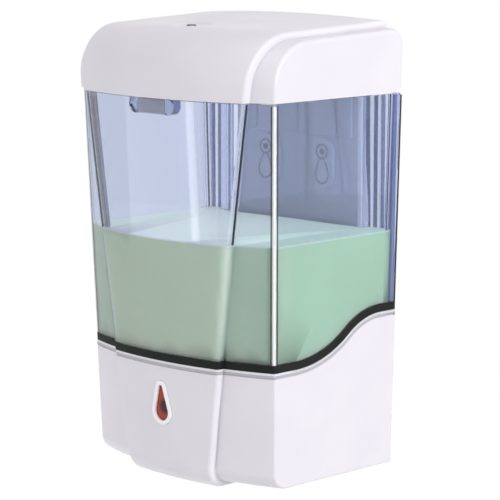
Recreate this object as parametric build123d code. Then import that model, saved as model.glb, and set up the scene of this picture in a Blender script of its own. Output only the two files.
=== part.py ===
from build123d import *
import math
import os

# A wall mounted soap dispenser: a clear tank between a moulded base and a hinged, lockable lid.
# X runs to the right of someone facing it, Y towards the wall and Z up, in millimetres.
# Heights are drawn from the foot of the side walls, and depths forward from the wall.
# Finished pieces are then lowered, so that the origin lies on the wall midway between the keyholes.

# Housing envelope, at the foot and at the height where the lid meets the tank
SPLIT_HEIGHT = 173.0
FOOT_REAR_WIDTH = 114.8
SPLIT_REAR_WIDTH = 125.2
FOOT_FRONT_WIDTH = 113.0
SPLIT_FRONT_WIDTH = 123.4
FOOT_CORNER_DEPTH = 77.8
SPLIT_CORNER_DEPTH = 83.2
FOOT_BULGE = 10.0
SPLIT_BULGE = 14.0
SHOULDER_TOP = 201.6
TOP_CROWN = 2.0
TOP_FALL = 2.4
FRONT_TOP_RADIUS = 19.0
REAR_TOP_RADIUS = 6.0
FRONT_FOOT_RADIUS = 8.0
BODY_EDGE_RADIUS = 1.0
LID_EDGE_RADIUS = 2.2

# Raised centre panel that runs over the lid, down the front and under the base
PANEL_RISE = 3.0
PANEL_FOOT_WIDTH = 52.4
PANEL_SPLIT_WIDTH = 101.6
PANEL_EDGE_RADIUS = 2.0
PANEL_UNDER_DEPTH = 44.0

# Swept joint between the base and the tank
RIM_FRONT_HEIGHT = 51.3
RIM_REAR_HEIGHT = 70.4
RIM_SWEEP_START = 66.0
RIM_SWEEP_ANGLE = 38.0
RIM_FRONT_RADIUS = 58.0
BEAD_HEIGHT = 2.4
BEAD_GROOVE_WIDTH = 0.5
BEAD_GROOVE_DEPTH = 0.4

# Walls and clearances
BASE_WALL = 2.4
DECK_WALL = 2.2
TANK_WALL = 2.4
LID_WALL = 2.2
LID_OVERHANG = 0.8
LID_WALL_GAP = 1.2
TANK_WALL_GAP = 0.3
SPLIT_GAP = 0.4
RIM_GAP = 0.1
SKIRT_GAP = 0.3
LOOSE_GAP = 0.4
SEAT_GAP = 0.1
RUNNING_GAP = 0.05

# Tank, its seal and the soap
TANK_BACK_DEPTH = 5.4
TANK_RECESS_WIDTH = 85.0
TANK_CORNER_RADIUS = 6.0
TANK_EDGE_RADIUS = 2.2
FLUTE_RADIUS = 2.1
FLUTE_DEPTH = 1.5
FLUTE_SPACING = 4.4
FLUTE_START = 47.0
LIP_HEIGHT = 2.7
LIP_WIDTH = 3.4
SEAL_HEIGHT = 2.4
FLOOR_WALL = 1.6
SOAP_LEVEL = 110.0
OUTLET_DEPTH = 58.0
SPIGOT_RADIUS = 3.2
SPIGOT_BORE = 2.2
STRAINER_HEIGHT = 1.2
STRAINER_RING = 0.6
STRAINER_SLOT = 0.8

# Back plate and its keyholes
PLATE_WALL = 2.5
PLATE_FOOT_GAP = 0.4
PLATE_TOWER_WIDTH = 75.0
PLATE_TOWER_TOP = 183.0
HANG_HEIGHT = 132.0
KEYHOLE_SPACING = 34.0
KEYHOLE_ENTRY_RADIUS = 4.2
KEYHOLE_SLOT_RADIUS = 2.4
KEYHOLE_RISE = 11.0
KEYHOLE_LIP = 1.2
KEYHOLE_POCKET_RADIUS = 4.8
KEYHOLE_POCKET_WALL = 1.4
KEYHOLE_SKIN = 0.8
KEYHOLE_PAD_RISE = 2.2
FIELD_WIDTH = 68.0
FIELD_FOOT = 151.0
FIELD_RISE = 1.2
FIELD_RIB_SPACING = 24.0
FIELD_RIB_WALL = 1.6
FIELD_RIB_DEPTH = 4.9

# Lid hinge
HINGE_DEPTH = 12.0
HINGE_DROP = 9.4
HINGE_PIN_RADIUS = 2.0
HINGE_KNUCKLE_RADIUS = 4.4
HINGE_ARM_INNER = 20.0
HINGE_ARM_WIDTH = 8.0
HINGE_ARM_DEPTH = 7.6
HINGE_ARM_FOOT_GAP = 0.8
LID_KNUCKLE_WIDTH = 8.0
LID_REAR_STRIP = 6.0
LID_TOWER_GAP = 1.2

# Lid lock and the catch on the tank
LOCK_DEPTH = 73.0
LOCK_DISH_RADIUS = 9.5
LOCK_DISH_DEPTH = 1.6
LOCK_BOSS_RADIUS = 11.0
LOCK_BOSS_HEIGHT = 15.0
LOCK_BARREL_RADIUS = 4.0
LOCK_HEAD_RADIUS = 5.0
LOCK_HEAD_HEIGHT = 1.2
LOCK_STUB_RADIUS = 2.4
LOCK_CLIP_RADIUS = 6.6
LOCK_CLIP_HEIGHT = 1.2
KEY_SLOT_LENGTH = 6.0
KEY_SLOT_WIDTH = 1.4
KEY_SLOT_DEPTH = 5.0
CAM_HEIGHT = 2.4
CAM_TIP_GAP = 1.6
CAM_HUB_RADIUS = 4.6
CAM_TIP_RADIUS = 3.0
CATCH_WIDTH = 14.0
CATCH_WALL = 3.0
CATCH_REACH = 4.0
CATCH_GAP = 0.8
CATCH_SETBACK = 2.2
STRIKER_WIDTH = 28.0
STRIKER_HEIGHT = 7.0
STRIKER_CORNER_RADIUS = 4.0
STRIKER_SLOT_WIDTH = 18.0
STRIKER_SLOT_DEPTH = 1.6

# Sensor window on the front panel
WINDOW_HEIGHT = 30.0
WINDOW_RADIUS = 4.2
WINDOW_TIP_RISE = 11.2
WINDOW_TIP_RADIUS = 1.2
WINDOW_RECESS = 0.3
BEZEL_WIDTH = 1.9
BEZEL_RISE = 0.6

# Control board, light and hand sensor
BOARD_FRONT_DEPTH = 79.6
BOARD_WALL = 1.6
BOARD_WIDTH = 52.0
BOARD_FOOT = 8.0
BOARD_HEIGHT = 36.0
BOARD_POST_WIDTH = 4.5
BOARD_POST_WALL = 1.7
BOARD_POST_GRIP = 2.4
LED_RADIUS = 2.5
LED_LENGTH = 6.0
LENS_DEPTH = 73.0
LENS_WIDTH = 16.0
LENS_LENGTH = 8.0
LENS_FLANGE = 1.6
LENS_FLANGE_HEIGHT = 1.4
DIODE_SPACING = 8.0
DIODE_RADIUS = 1.5
DIODE_HEIGHT = 5.0

# Gear pump
PUMP_HEIGHT = 30.0
GEAR_MODULE = 1.2
GEAR_TEETH = 12
GEAR_PRESSURE_ANGLE = 25.0
GEAR_BACKLASH = 0.16
GEAR_ADDENDUM = 1.15
GEAR_DEDENDUM = 1.45
GEAR_WIDTH = 9.6
GEAR_SIDE_GAP = 0.2
GEAR_TIP_GAP = 0.3
PUMP_WALL = 2.2
PUMP_MOTOR_WALL = 3.2
PUMP_COVER_WALL = 2.6
PUMP_GASKET_WALL = 0.5
PUMP_NIPPLE_RADIUS = 3.2
PUMP_NIPPLE_LENGTH = 5.0
PUMP_PORT_RADIUS = 2.0
PUMP_LUG_WALL = 2.0
PUMP_LUG_WIDTH = 12.0
PUMP_POST_SPACING = 30.0
PUMP_POST_RADIUS = 3.6
SHAFT_RADIUS = 1.0
IDLER_PIN_RADIUS = 1.2

# Motor
MOTOR_RADIUS = 10.0
MOTOR_FLAT = 15.4
MOTOR_LENGTH = 22.0
MOTOR_CAP_LENGTH = 4.0
MOTOR_BOSS_RADIUS = 3.0
MOTOR_BOSS_LENGTH = 1.4
MOTOR_SHAFT_TAIL = 1.2
MOTOR_TAG_WIDTH = 2.4
MOTOR_TAG_WALL = 0.5
MOTOR_TAG_LENGTH = 4.0

# Soap tubes and nozzle
TUBE_WALL = 1.4
TUBE_GRIP = 4.0
TUBE_SPAN = 1.0
NOZZLE_RADIUS = 5.0
NOZZLE_DROP = 3.0
NOZZLE_FLANGE_RADIUS = 8.0
NOZZLE_FLANGE_HEIGHT = 2.0
VALVE_RADIUS = 3.2
VALVE_HEIGHT = 4.6
VALVE_SLIT = 0.5

# Batteries and their compartment
CELL_RADIUS = 7.2
CELL_LENGTH = 49.2
CELL_TIP_RADIUS = 2.7
CELL_TIP_LENGTH = 1.2
CELL_GAP = 0.3
CONTACT_WALL = 0.5
CONTACT_WIDTH = 9.0
BOX_WALL = 1.6
BOX_REAR_DEPTH = 6.0
DOOR_GAP = 0.35
DOOR_INSET = 0.15
DOOR_PIN_RADIUS = 0.7
DOOR_PIN_LENGTH = 1.6
DOOR_SCOOP_RADIUS = 7.0
DOOR_SCOOP_DEPTH = 1.0

# Power switch under the base
SWITCH_X = -42.0
SWITCH_DEPTH = 52.0
SWITCH_BODY_LENGTH = 14.0
SWITCH_BODY_WIDTH = 7.0
SWITCH_BODY_HEIGHT = 6.0
SWITCH_WALL = 1.2
SWITCH_TRAVEL = 3.0
SWITCH_PLATE_LENGTH = 6.0
SWITCH_PLATE_HEIGHT = 2.6
SWITCH_KNOB_LENGTH = 3.2
SWITCH_KNOB_WIDTH = 2.8
SWITCH_KNOB_DROP = 1.0

# Screws
SCREW_RADIUS = 1.5
SCREW_HEAD_RADIUS = 2.9
SCREW_HEAD_HEIGHT = 1.8
SCREW_BOSS_RADIUS = 4.0
SCREW_CROSS_WIDTH = 0.8
SCREW_CROSS_LENGTH = 3.2
SCREW_CROSS_DEPTH = 1.0
BACK_SCREW_LENGTH = 9.0
BACK_SCREW_SPACING = 92.0
BACK_SCREW_LOW = 12.0
BACK_SCREW_HIGH = 56.0
PLATE_BOSS_RISE = 2.0
TANK_SCREW_LENGTH = 7.0
TANK_SCREW_SPACING = 64.0
TANK_SCREW_HEIGHT = 92.0
TANK_BOSS_DEPTH = 2.6
PUMP_SCREW_LENGTH = 9.0
COVER_SCREW_LENGTH = 9.0

# Sizes worked out from the ones above
FAR = 300.0
LOFT_LOW = -SPLIT_HEIGHT / 4
LOFT_HIGH = SPLIT_HEIGHT * 1.4
OPEN_REAR = LOOSE_GAP
RIM_RISE = RIM_REAR_HEIGHT - RIM_FRONT_HEIGHT
RIM_REAR_RADIUS = RIM_RISE / (1 - math.cos(math.radians(RIM_SWEEP_ANGLE))) - RIM_FRONT_RADIUS
FLOOR_FOOT = LIP_HEIGHT + SEAL_HEIGHT + 2 * SEAT_GAP
FLOOR_TOP = FLOOR_FOOT + FLOOR_WALL
TANK_TOP = SPLIT_HEIGHT - SPLIT_GAP / 2
LID_FOOT = SPLIT_HEIGHT + SPLIT_GAP / 2
LID_TOP = SHOULDER_TOP + TOP_CROWN + PANEL_RISE + LID_OVERHANG
HINGE_HEIGHT = LID_TOP - HINGE_DROP
PANEL_FLOOR = BASE_WALL - PANEL_RISE
LOCK_TOP = LID_TOP - LOCK_DEPTH * math.tan(math.radians(TOP_FALL)) - LOCK_DISH_DEPTH
LOCK_BOSS_FOOT = LOCK_TOP - LOCK_BOSS_HEIGHT
CLIP_TOP = LOCK_BOSS_FOOT - SEAT_GAP
CAM_TOP = CLIP_TOP - LOCK_CLIP_HEIGHT - SEAT_GAP
CAM_FOOT = CAM_TOP - CAM_HEIGHT
FRONT_DEPTH = SPLIT_CORNER_DEPTH + SPLIT_BULGE + PANEL_RISE
CATCH_FRONT = FRONT_DEPTH - TANK_WALL - CATCH_SETBACK
CATCH_REAR = CATCH_FRONT - CATCH_WALL
CAM_LENGTH = CATCH_REAR - LOCK_DEPTH - CAM_TIP_GAP
GEAR_PITCH_RADIUS = GEAR_MODULE * GEAR_TEETH / 2
GEAR_TIP_RADIUS = GEAR_PITCH_RADIUS + GEAR_ADDENDUM
GEAR_ROOT_RADIUS = GEAR_PITCH_RADIUS - GEAR_DEDENDUM
DRIVE_DEPTH = OUTLET_DEPTH + GEAR_PITCH_RADIUS
IDLER_DEPTH = OUTLET_DEPTH - GEAR_PITCH_RADIUS
CHAMBER_RADIUS = GEAR_TIP_RADIUS + GEAR_TIP_GAP
CHAMBER_HALF = GEAR_WIDTH / 2 + GEAR_SIDE_GAP
PUMP_HALF_DEPTH = GEAR_PITCH_RADIUS + CHAMBER_RADIUS + PUMP_WALL
PUMP_HALF_HEIGHT = CHAMBER_RADIUS + PUMP_WALL
PUMP_FACE = CHAMBER_HALF + PUMP_MOTOR_WALL
PUMP_FOOT = PUMP_HEIGHT - PUMP_HALF_HEIGHT
COVER_FACE = -CHAMBER_HALF - PUMP_GASKET_WALL - PUMP_COVER_WALL
LUG_FOOT = PUMP_FOOT - PUMP_LUG_WALL
SPIGOT_FOOT = PUMP_HEIGHT + PUMP_HALF_HEIGHT + PUMP_NIPPLE_LENGTH + TUBE_SPAN
NOZZLE_NECK_TOP = LUG_FOOT - PUMP_NIPPLE_LENGTH - TUBE_SPAN
BOX_INNER_LENGTH = CELL_LENGTH + CELL_TIP_LENGTH + 2 * (CONTACT_WALL + 2 * CELL_GAP)
BOX_INNER_DEPTH = 4 * CELL_RADIUS + 3 * CELL_GAP
BOX_INNER_TOP = BASE_WALL + 4 * CELL_RADIUS + 3 * CELL_GAP
BOX_INNER_REAR = BOX_REAR_DEPTH + BOX_WALL
BOX_INNER_FRONT = BOX_INNER_REAR + BOX_INNER_DEPTH
DOOR_THICKNESS = BASE_WALL - 2 * DOOR_INSET
DOOR_AXIS_HEIGHT = BASE_WALL / 2
DOOR_AXIS_DEPTH = BOX_INNER_REAR + DOOR_GAP + DOOR_THICKNESS / 2


def at_height(z, foot, split):
    """Value that runs straight from its size at the foot to its size at the lid joint."""
    return foot + (split - foot) * z / SPLIT_HEIGHT


def rear_half(z):
    """Half of the housing's width along the wall."""
    return at_height(z, FOOT_REAR_WIDTH, SPLIT_REAR_WIDTH) / 2


def block(x0, x1, y0, y1, z0, z1):
    """Box between two limits on each axis."""
    return Pos(x0, y0, z0) * Box(x1 - x0, y1 - y0, z1 - z0, align=(Align.MIN, Align.MIN, Align.MIN))


def upright(x, y, radius, z0, z1):
    """Round bar along Z."""
    return Pos(x, y, z0) * Cylinder(radius, z1 - z0, align=(Align.CENTER, Align.CENTER, Align.MIN))


def along_x(y, z, radius, x0, x1):
    """Round bar along X."""
    return Pos(x0, y, z) * Rot(0, 90, 0) * upright(0, 0, radius, 0, x1 - x0)


def along_y(x, z, radius, y0, y1):
    """Round bar along Y."""
    return Pos(x, y0, z) * Rot(-90, 0, 0) * upright(0, 0, radius, 0, y1 - y0)


def both_sides(shape):
    """The shape and its mirror image across the centre plane."""
    return shape + mirror(shape, Plane.YZ)


def side_prism(edges, half_width=FAR):
    """Prism across the width, from a closed outline drawn with depth and height."""
    return extrude(Plane.YZ * make_face(edges), amount=half_width, both=True)


def plan_face(z, grow, rear, corner=0.0):
    """Outline of the housing at a height: flat at the wall, straight sides and a bowed front."""
    back = rear_half(z) + grow
    front = at_height(z, FOOT_FRONT_WIDTH, SPLIT_FRONT_WIDTH) / 2 + grow
    depth = at_height(z, FOOT_CORNER_DEPTH, SPLIT_CORNER_DEPTH) + grow
    apex = depth + at_height(z, FOOT_BULGE, SPLIT_BULGE)
    edges = Line((back, rear), (-back, rear))
    edges += Line((-back, rear), (-front, -depth))
    edges += ThreePointArc((-front, -depth), (0, -apex), (front, -depth))
    edges += Line((front, -depth), (back, rear))
    face = make_face(edges)
    if corner > 0:
        face = fillet(face.vertices().sort_by(Axis.Y)[-2:], corner)
    return Pos(0, 0, z) * face


def flank_loft(grow, rear, corner=0.0):
    """Tapered body between two plan outlines, well past the top and the foot."""
    low = plan_face(LOFT_LOW, grow, rear, corner)
    high = plan_face(LOFT_HIGH, grow, rear, corner)
    return loft([low, high], ruled=True)


def roof(top):
    """Everything below a top face that is crowned across the width and falls towards the front."""
    fall = math.radians(TOP_FALL)
    forward = Plane((0, 0, top), x_dir=(1, 0, 0), z_dir=(0, -math.cos(fall), -math.sin(fall)))
    half = SPLIT_REAR_WIDTH
    drop = TOP_CROWN * (half / (SPLIT_REAR_WIDTH / 2)) ** 2
    edges = ThreePointArc((-half, -drop), (0, 0), (half, -drop))
    edges += Polyline((half, -drop), (half, -FAR), (-half, -FAR), (-half, -drop))
    return extrude(forward * make_face(edges), amount=FAR, both=True)


def rounded_body(grow, rear, edge=0.0):
    """Tapered body cut to its falling top and flat foot, with the large edges rounded.

    A radius for edge also rounds the outlines of the two side faces.
    """
    body = (flank_loft(grow, rear) & roof(SHOULDER_TOP + TOP_CROWN + grow)) - below(-grow)
    body = fillet(body.faces().sort_by(Axis.Z)[-1].edges().sort_by(Axis.Y)[:1], FRONT_TOP_RADIUS + grow)
    body = fillet(body.faces().sort_by(Axis.Z)[0].edges().sort_by(Axis.Y)[:1], FRONT_FOOT_RADIUS + grow)
    rear_edges = body.faces().sort_by(Axis.Y)[-1].edges()
    body = fillet(rear_edges.sort_by(Axis.Z)[-1:], REAR_TOP_RADIUS + min(grow, 0))
    if edge > 0:
        body = fillet(side_edges(body, rear, -grow), edge)
    return body


def panel_prism(grow):
    """Front outline of the raised panel, which narrows towards the foot."""
    low = at_height(LOFT_LOW, PANEL_FOOT_WIDTH, PANEL_SPLIT_WIDTH) / 2 + grow
    high = at_height(LOFT_HIGH, PANEL_FOOT_WIDTH, PANEL_SPLIT_WIDTH) / 2 + grow
    outline = Polyline((low, LOFT_LOW), (high, LOFT_HIGH), (-high, LOFT_HIGH), (-low, LOFT_LOW), close=True)
    return extrude(Plane.XZ * make_face(outline), amount=FAR, both=True)


def side_edges(body, rear, foot):
    """Edges round the two side faces of a body, apart from those at the wall and along its foot."""
    sides = body.faces().filter_by(lambda face: abs(face.normal_at().X) > 0.9)
    edges = [edge for face in sides for edge in face.edges()]
    edges = [edge for edge in edges if abs(edge.center().Y - rear) > SEAT_GAP]
    return [edge for edge in edges if abs(edge.center().Z - foot) > SEAT_GAP]


def housing(grow, rear, edge=0.0):
    """Whole outer form, moved outwards by grow: the flanks with the raised panel over them.

    A radius for edge rounds the flanks' outlines, and the raised panel's own edges with them.
    """
    flanks = rounded_body(grow, rear, edge)
    raised = rounded_body(grow + PANEL_RISE, rear) & panel_prism(grow)
    if edge > 0:
        raised = fillet(side_edges(raised, rear, -FAR), PANEL_EDGE_RADIUS)
    under_depth = PANEL_UNDER_DEPTH - grow
    raised -= block(-FAR, FAR, -under_depth, FAR, -FAR, -grow)
    return flanks + raised


def tank_form(grow, rear, corner):
    """Form of the tank's inside before its recess: flanks and raised panel, with rounded rear corners."""
    raised = flank_loft(grow + PANEL_RISE, rear, corner) & panel_prism(grow)
    return flank_loft(grow, rear, corner) + raised


def tank_space(inset):
    """Space inside the tank's walls, drawn in by a further inset, and stepped round the back plate."""
    wall = TANK_WALL + inset
    space = tank_form(-wall, -TANK_WALL_GAP - wall, TANK_CORNER_RADIUS - inset)
    half = TANK_RECESS_WIDTH / 2 + wall
    return space - block(-half, half, -TANK_BACK_DEPTH - wall, FAR, -FAR, FAR)


def above_rim(lift):
    """Everything above the swept joint line, raised square to it by lift."""
    level = RIM_FRONT_HEIGHT + lift
    start = (-RIM_SWEEP_START, level)
    rising = JernArc(start, (1, 0), RIM_FRONT_RADIUS - lift, RIM_SWEEP_ANGLE)
    settling = JernArc(rising @ 1, rising % 1, RIM_REAR_RADIUS + lift, -RIM_SWEEP_ANGLE)
    rear_level = (settling @ 1).Y
    edges = Line((-FAR, level), start) + rising + settling
    edges += Polyline(settling @ 1, (FAR, rear_level), (FAR, FAR), (-FAR, FAR), (-FAR, level))
    return side_prism(edges)


def below(z):
    """Everything below a height."""
    return block(-FAR, FAR, -FAR, FAR, -FAR, z)


def screw(length):
    """Pan head screw along Z: the head sits on the zero plane and the shank goes down."""
    head = upright(0, 0, SCREW_HEAD_RADIUS, 0, SCREW_HEAD_HEIGHT)
    head = fillet(head.edges().sort_by(Axis.Z)[-1:], SCREW_HEAD_HEIGHT / 2)
    slot = Box(SCREW_CROSS_LENGTH, SCREW_CROSS_WIDTH, SCREW_CROSS_DEPTH)
    cross = slot + Rot(0, 0, 90) * slot
    shank = upright(0, 0, SCREW_RADIUS, -length, 0)
    return head + shank - Pos(0, 0, SCREW_HEAD_HEIGHT - SCREW_CROSS_DEPTH / 2) * cross


def drop_prism(margin):
    """Prism through the front in the shape of a drop, point up, wider by margin all round."""
    ball = Circle(WINDOW_RADIUS + margin)
    tip = Pos(0, WINDOW_TIP_RISE) * Circle(WINDOW_TIP_RADIUS + margin)
    outline = make_hull(ball.edges() + tip.edges())
    placed = Plane((0, 0, WINDOW_HEIGHT), x_dir=(1, 0, 0), z_dir=(0, -1, 0)) * outline
    return extrude(placed, amount=FAR)


def gear_face(turn):
    """Gear outline with involute flanks, turned by an angle in degrees."""
    base_radius = GEAR_PITCH_RADIUS * math.cos(math.radians(GEAR_PRESSURE_ANGLE))
    half_tooth = (math.pi * GEAR_MODULE - 2 * GEAR_BACKLASH) / 4 / GEAR_PITCH_RADIUS

    def involute(radius):
        angle = math.acos(base_radius / radius)
        return math.tan(angle) - angle

    def flank(radius):
        return half_tooth + involute(GEAR_PITCH_RADIUS) - involute(radius)

    def point(radius, angle):
        return (radius * math.cos(angle), radius * math.sin(angle))

    steps = [base_radius + (GEAR_TIP_RADIUS - base_radius) * share for share in (0, 0.2, 0.5, 1)]
    pitch = 2 * math.pi / GEAR_TEETH
    edges = Curve()
    for tooth in range(GEAR_TEETH):
        middle = tooth * pitch + math.radians(turn)
        root = flank(base_radius)
        rising = Spline(*[point(radius, middle - flank(radius)) for radius in steps])
        falling = Spline(*[point(radius, middle + flank(radius)) for radius in reversed(steps)])
        edges += Line(point(GEAR_ROOT_RADIUS, middle - root), rising @ 0) + rising
        edges += ThreePointArc(rising @ 1, point(GEAR_TIP_RADIUS, middle), falling @ 0) + falling
        edges += Line(falling @ 1, point(GEAR_ROOT_RADIUS, middle + root))
        valley = point(GEAR_ROOT_RADIUS, middle + pitch / 2)
        next_root = point(GEAR_ROOT_RADIUS, middle + pitch - root)
        edges += ThreePointArc(point(GEAR_ROOT_RADIUS, middle + root), valley, next_root)
    return make_face(edges)


def gear(depth, turn, bore):
    """Pump gear across the width at a depth from the wall, at the pump's height."""
    wheel = extrude(Plane.YZ * gear_face(turn), amount=GEAR_WIDTH / 2, both=True)
    wheel -= along_x(0, 0, bore, -GEAR_WIDTH, GEAR_WIDTH)
    return Pos(0, -depth, PUMP_HEIGHT) * wheel


def back_screw_places():
    """Centres of the screws that hold the base to the back plate, as X and Z."""
    half = BACK_SCREW_SPACING / 2
    return [(x, z) for x in (-half, half) for z in (BACK_SCREW_LOW, BACK_SCREW_HIGH)]


def tank_screw_places():
    """Centres of the screws that hold the tank to the back plate, as X and Z."""
    half = TANK_SCREW_SPACING / 2
    return [(x, TANK_SCREW_HEIGHT) for x in (-half, half)]


def cover_screw_places():
    """Centres of the screws that close the pump, as Y and Z."""
    reach = PUMP_HALF_DEPTH - SCREW_HEAD_RADIUS
    rise = PUMP_HALF_HEIGHT - SCREW_HEAD_RADIUS
    return [(-OUTLET_DEPTH + y, PUMP_HEIGHT + z) for y in (-reach, reach) for z in (-rise, rise)]


def cell_places():
    """Centres of the four cells, as Y and Z: two side by side, in two layers."""
    pitch = 2 * CELL_RADIUS + CELL_GAP
    first_y = -BOX_INNER_REAR - CELL_GAP - CELL_RADIUS
    first_z = BASE_WALL + CELL_GAP + CELL_RADIUS
    return [(first_y - column * pitch, first_z + layer * pitch) for layer in (0, 1) for column in (0, 1)]


def keyhole_pocket(x, radius, y0, y1):
    """Upright round-ended bar over a keyhole's entry and slot, between two depths."""
    low = Pos(x, HANG_HEIGHT) * Circle(radius)
    high = Pos(x, HANG_HEIGHT + KEYHOLE_RISE) * Circle(radius)
    facing = Plane((0, y1, 0), x_dir=(1, 0, 0), z_dir=(0, -1, 0))
    return extrude(facing * make_hull(low.edges() + high.edges()), amount=y1 - y0)


def make_back_plate():
    """Plate on the wall: keyholes, a ribbed field and the arms that hold the hinge pin."""
    margin = BASE_WALL + LOOSE_GAP
    foot = BASE_WALL + PLATE_FOOT_GAP
    sheet_top = RIM_REAR_HEIGHT - DECK_WALL - LOOSE_GAP
    low_half = rear_half(foot) - margin
    high_half = rear_half(sheet_top) - margin
    outline = Polyline((-low_half, foot), (low_half, foot), (high_half, sheet_top), (-high_half, sheet_top),
                       close=True)
    sheet = make_face(outline)
    tower = Pos(0, (foot + PLATE_TOWER_TOP) / 2) * Rectangle(PLATE_TOWER_WIDTH, PLATE_TOWER_TOP - foot)
    facing = Plane((0, 0, 0), x_dir=(1, 0, 0), z_dir=(0, -1, 0))
    plate = extrude(facing * (sheet + tower), amount=PLATE_WALL)

    field_half = FIELD_WIDTH / 2
    field_top = PLATE_TOWER_TOP
    plate += block(-field_half, field_half, -PLATE_WALL - FIELD_RISE, 0, FIELD_FOOT, field_top)
    for x in (-FIELD_RIB_SPACING, 0, FIELD_RIB_SPACING):
        half = FIELD_RIB_WALL / 2
        plate += block(x - half, x + half, -FIELD_RIB_DEPTH, 0, FIELD_FOOT + FIELD_RISE, field_top)

    arm_inner = HINGE_ARM_INNER
    arm_outer = HINGE_ARM_INNER + HINGE_ARM_WIDTH
    arm_half = HINGE_ARM_DEPTH / 2
    arm_foot = TANK_TOP + HINGE_ARM_FOOT_GAP
    arm = block(arm_inner, arm_outer, -HINGE_DEPTH - arm_half, 0, arm_foot, PLATE_TOWER_TOP)
    arm += block(arm_inner, arm_outer, -HINGE_DEPTH - arm_half, -HINGE_DEPTH + arm_half,
                 arm_foot, HINGE_HEIGHT)
    arm += along_x(-HINGE_DEPTH, HINGE_HEIGHT, HINGE_KNUCKLE_RADIUS, arm_inner, arm_outer)
    plate += both_sides(arm)
    plate -= along_x(-HINGE_DEPTH, HINGE_HEIGHT, HINGE_PIN_RADIUS + RUNNING_GAP, -FAR, FAR)

    pad_face = -PLATE_WALL - KEYHOLE_PAD_RISE
    lip_face = -KEYHOLE_LIP
    for x in (-KEYHOLE_SPACING / 2, KEYHOLE_SPACING / 2):
        plate += keyhole_pocket(x, KEYHOLE_POCKET_RADIUS + KEYHOLE_POCKET_WALL, pad_face, 0)
        plate -= keyhole_pocket(x, KEYHOLE_POCKET_RADIUS, pad_face + KEYHOLE_SKIN, lip_face)
        slot_half = KEYHOLE_SLOT_RADIUS
        seat = HANG_HEIGHT + KEYHOLE_RISE
        plate -= along_y(x, HANG_HEIGHT, KEYHOLE_ENTRY_RADIUS, lip_face - SEAT_GAP, FAR)
        plate -= along_y(x, seat, KEYHOLE_SLOT_RADIUS, lip_face - SEAT_GAP, FAR)
        plate -= block(x - slot_half, x + slot_half, lip_face - SEAT_GAP, FAR, HANG_HEIGHT, seat)

    boss_depth = PLATE_WALL + PLATE_BOSS_RISE
    for x, z in back_screw_places() + tank_screw_places():
        plate += along_y(x, z, SCREW_BOSS_RADIUS, -boss_depth, 0)
        plate -= along_y(x, z, SCREW_RADIUS + SEAT_GAP, -FAR, FAR)
        plate -= along_y(x, z, SCREW_HEAD_RADIUS + SEAT_GAP, -SCREW_HEAD_HEIGHT - SEAT_GAP, FAR)
    return plate


def make_hinge_pin():
    """Steel pin through the plate's arms and the lid's knuckles."""
    half = HINGE_ARM_INNER + HINGE_ARM_WIDTH + LOOSE_GAP + LID_KNUCKLE_WIDTH
    return along_x(-HINGE_DEPTH, HINGE_HEIGHT, HINGE_PIN_RADIUS, -half, half)


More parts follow.
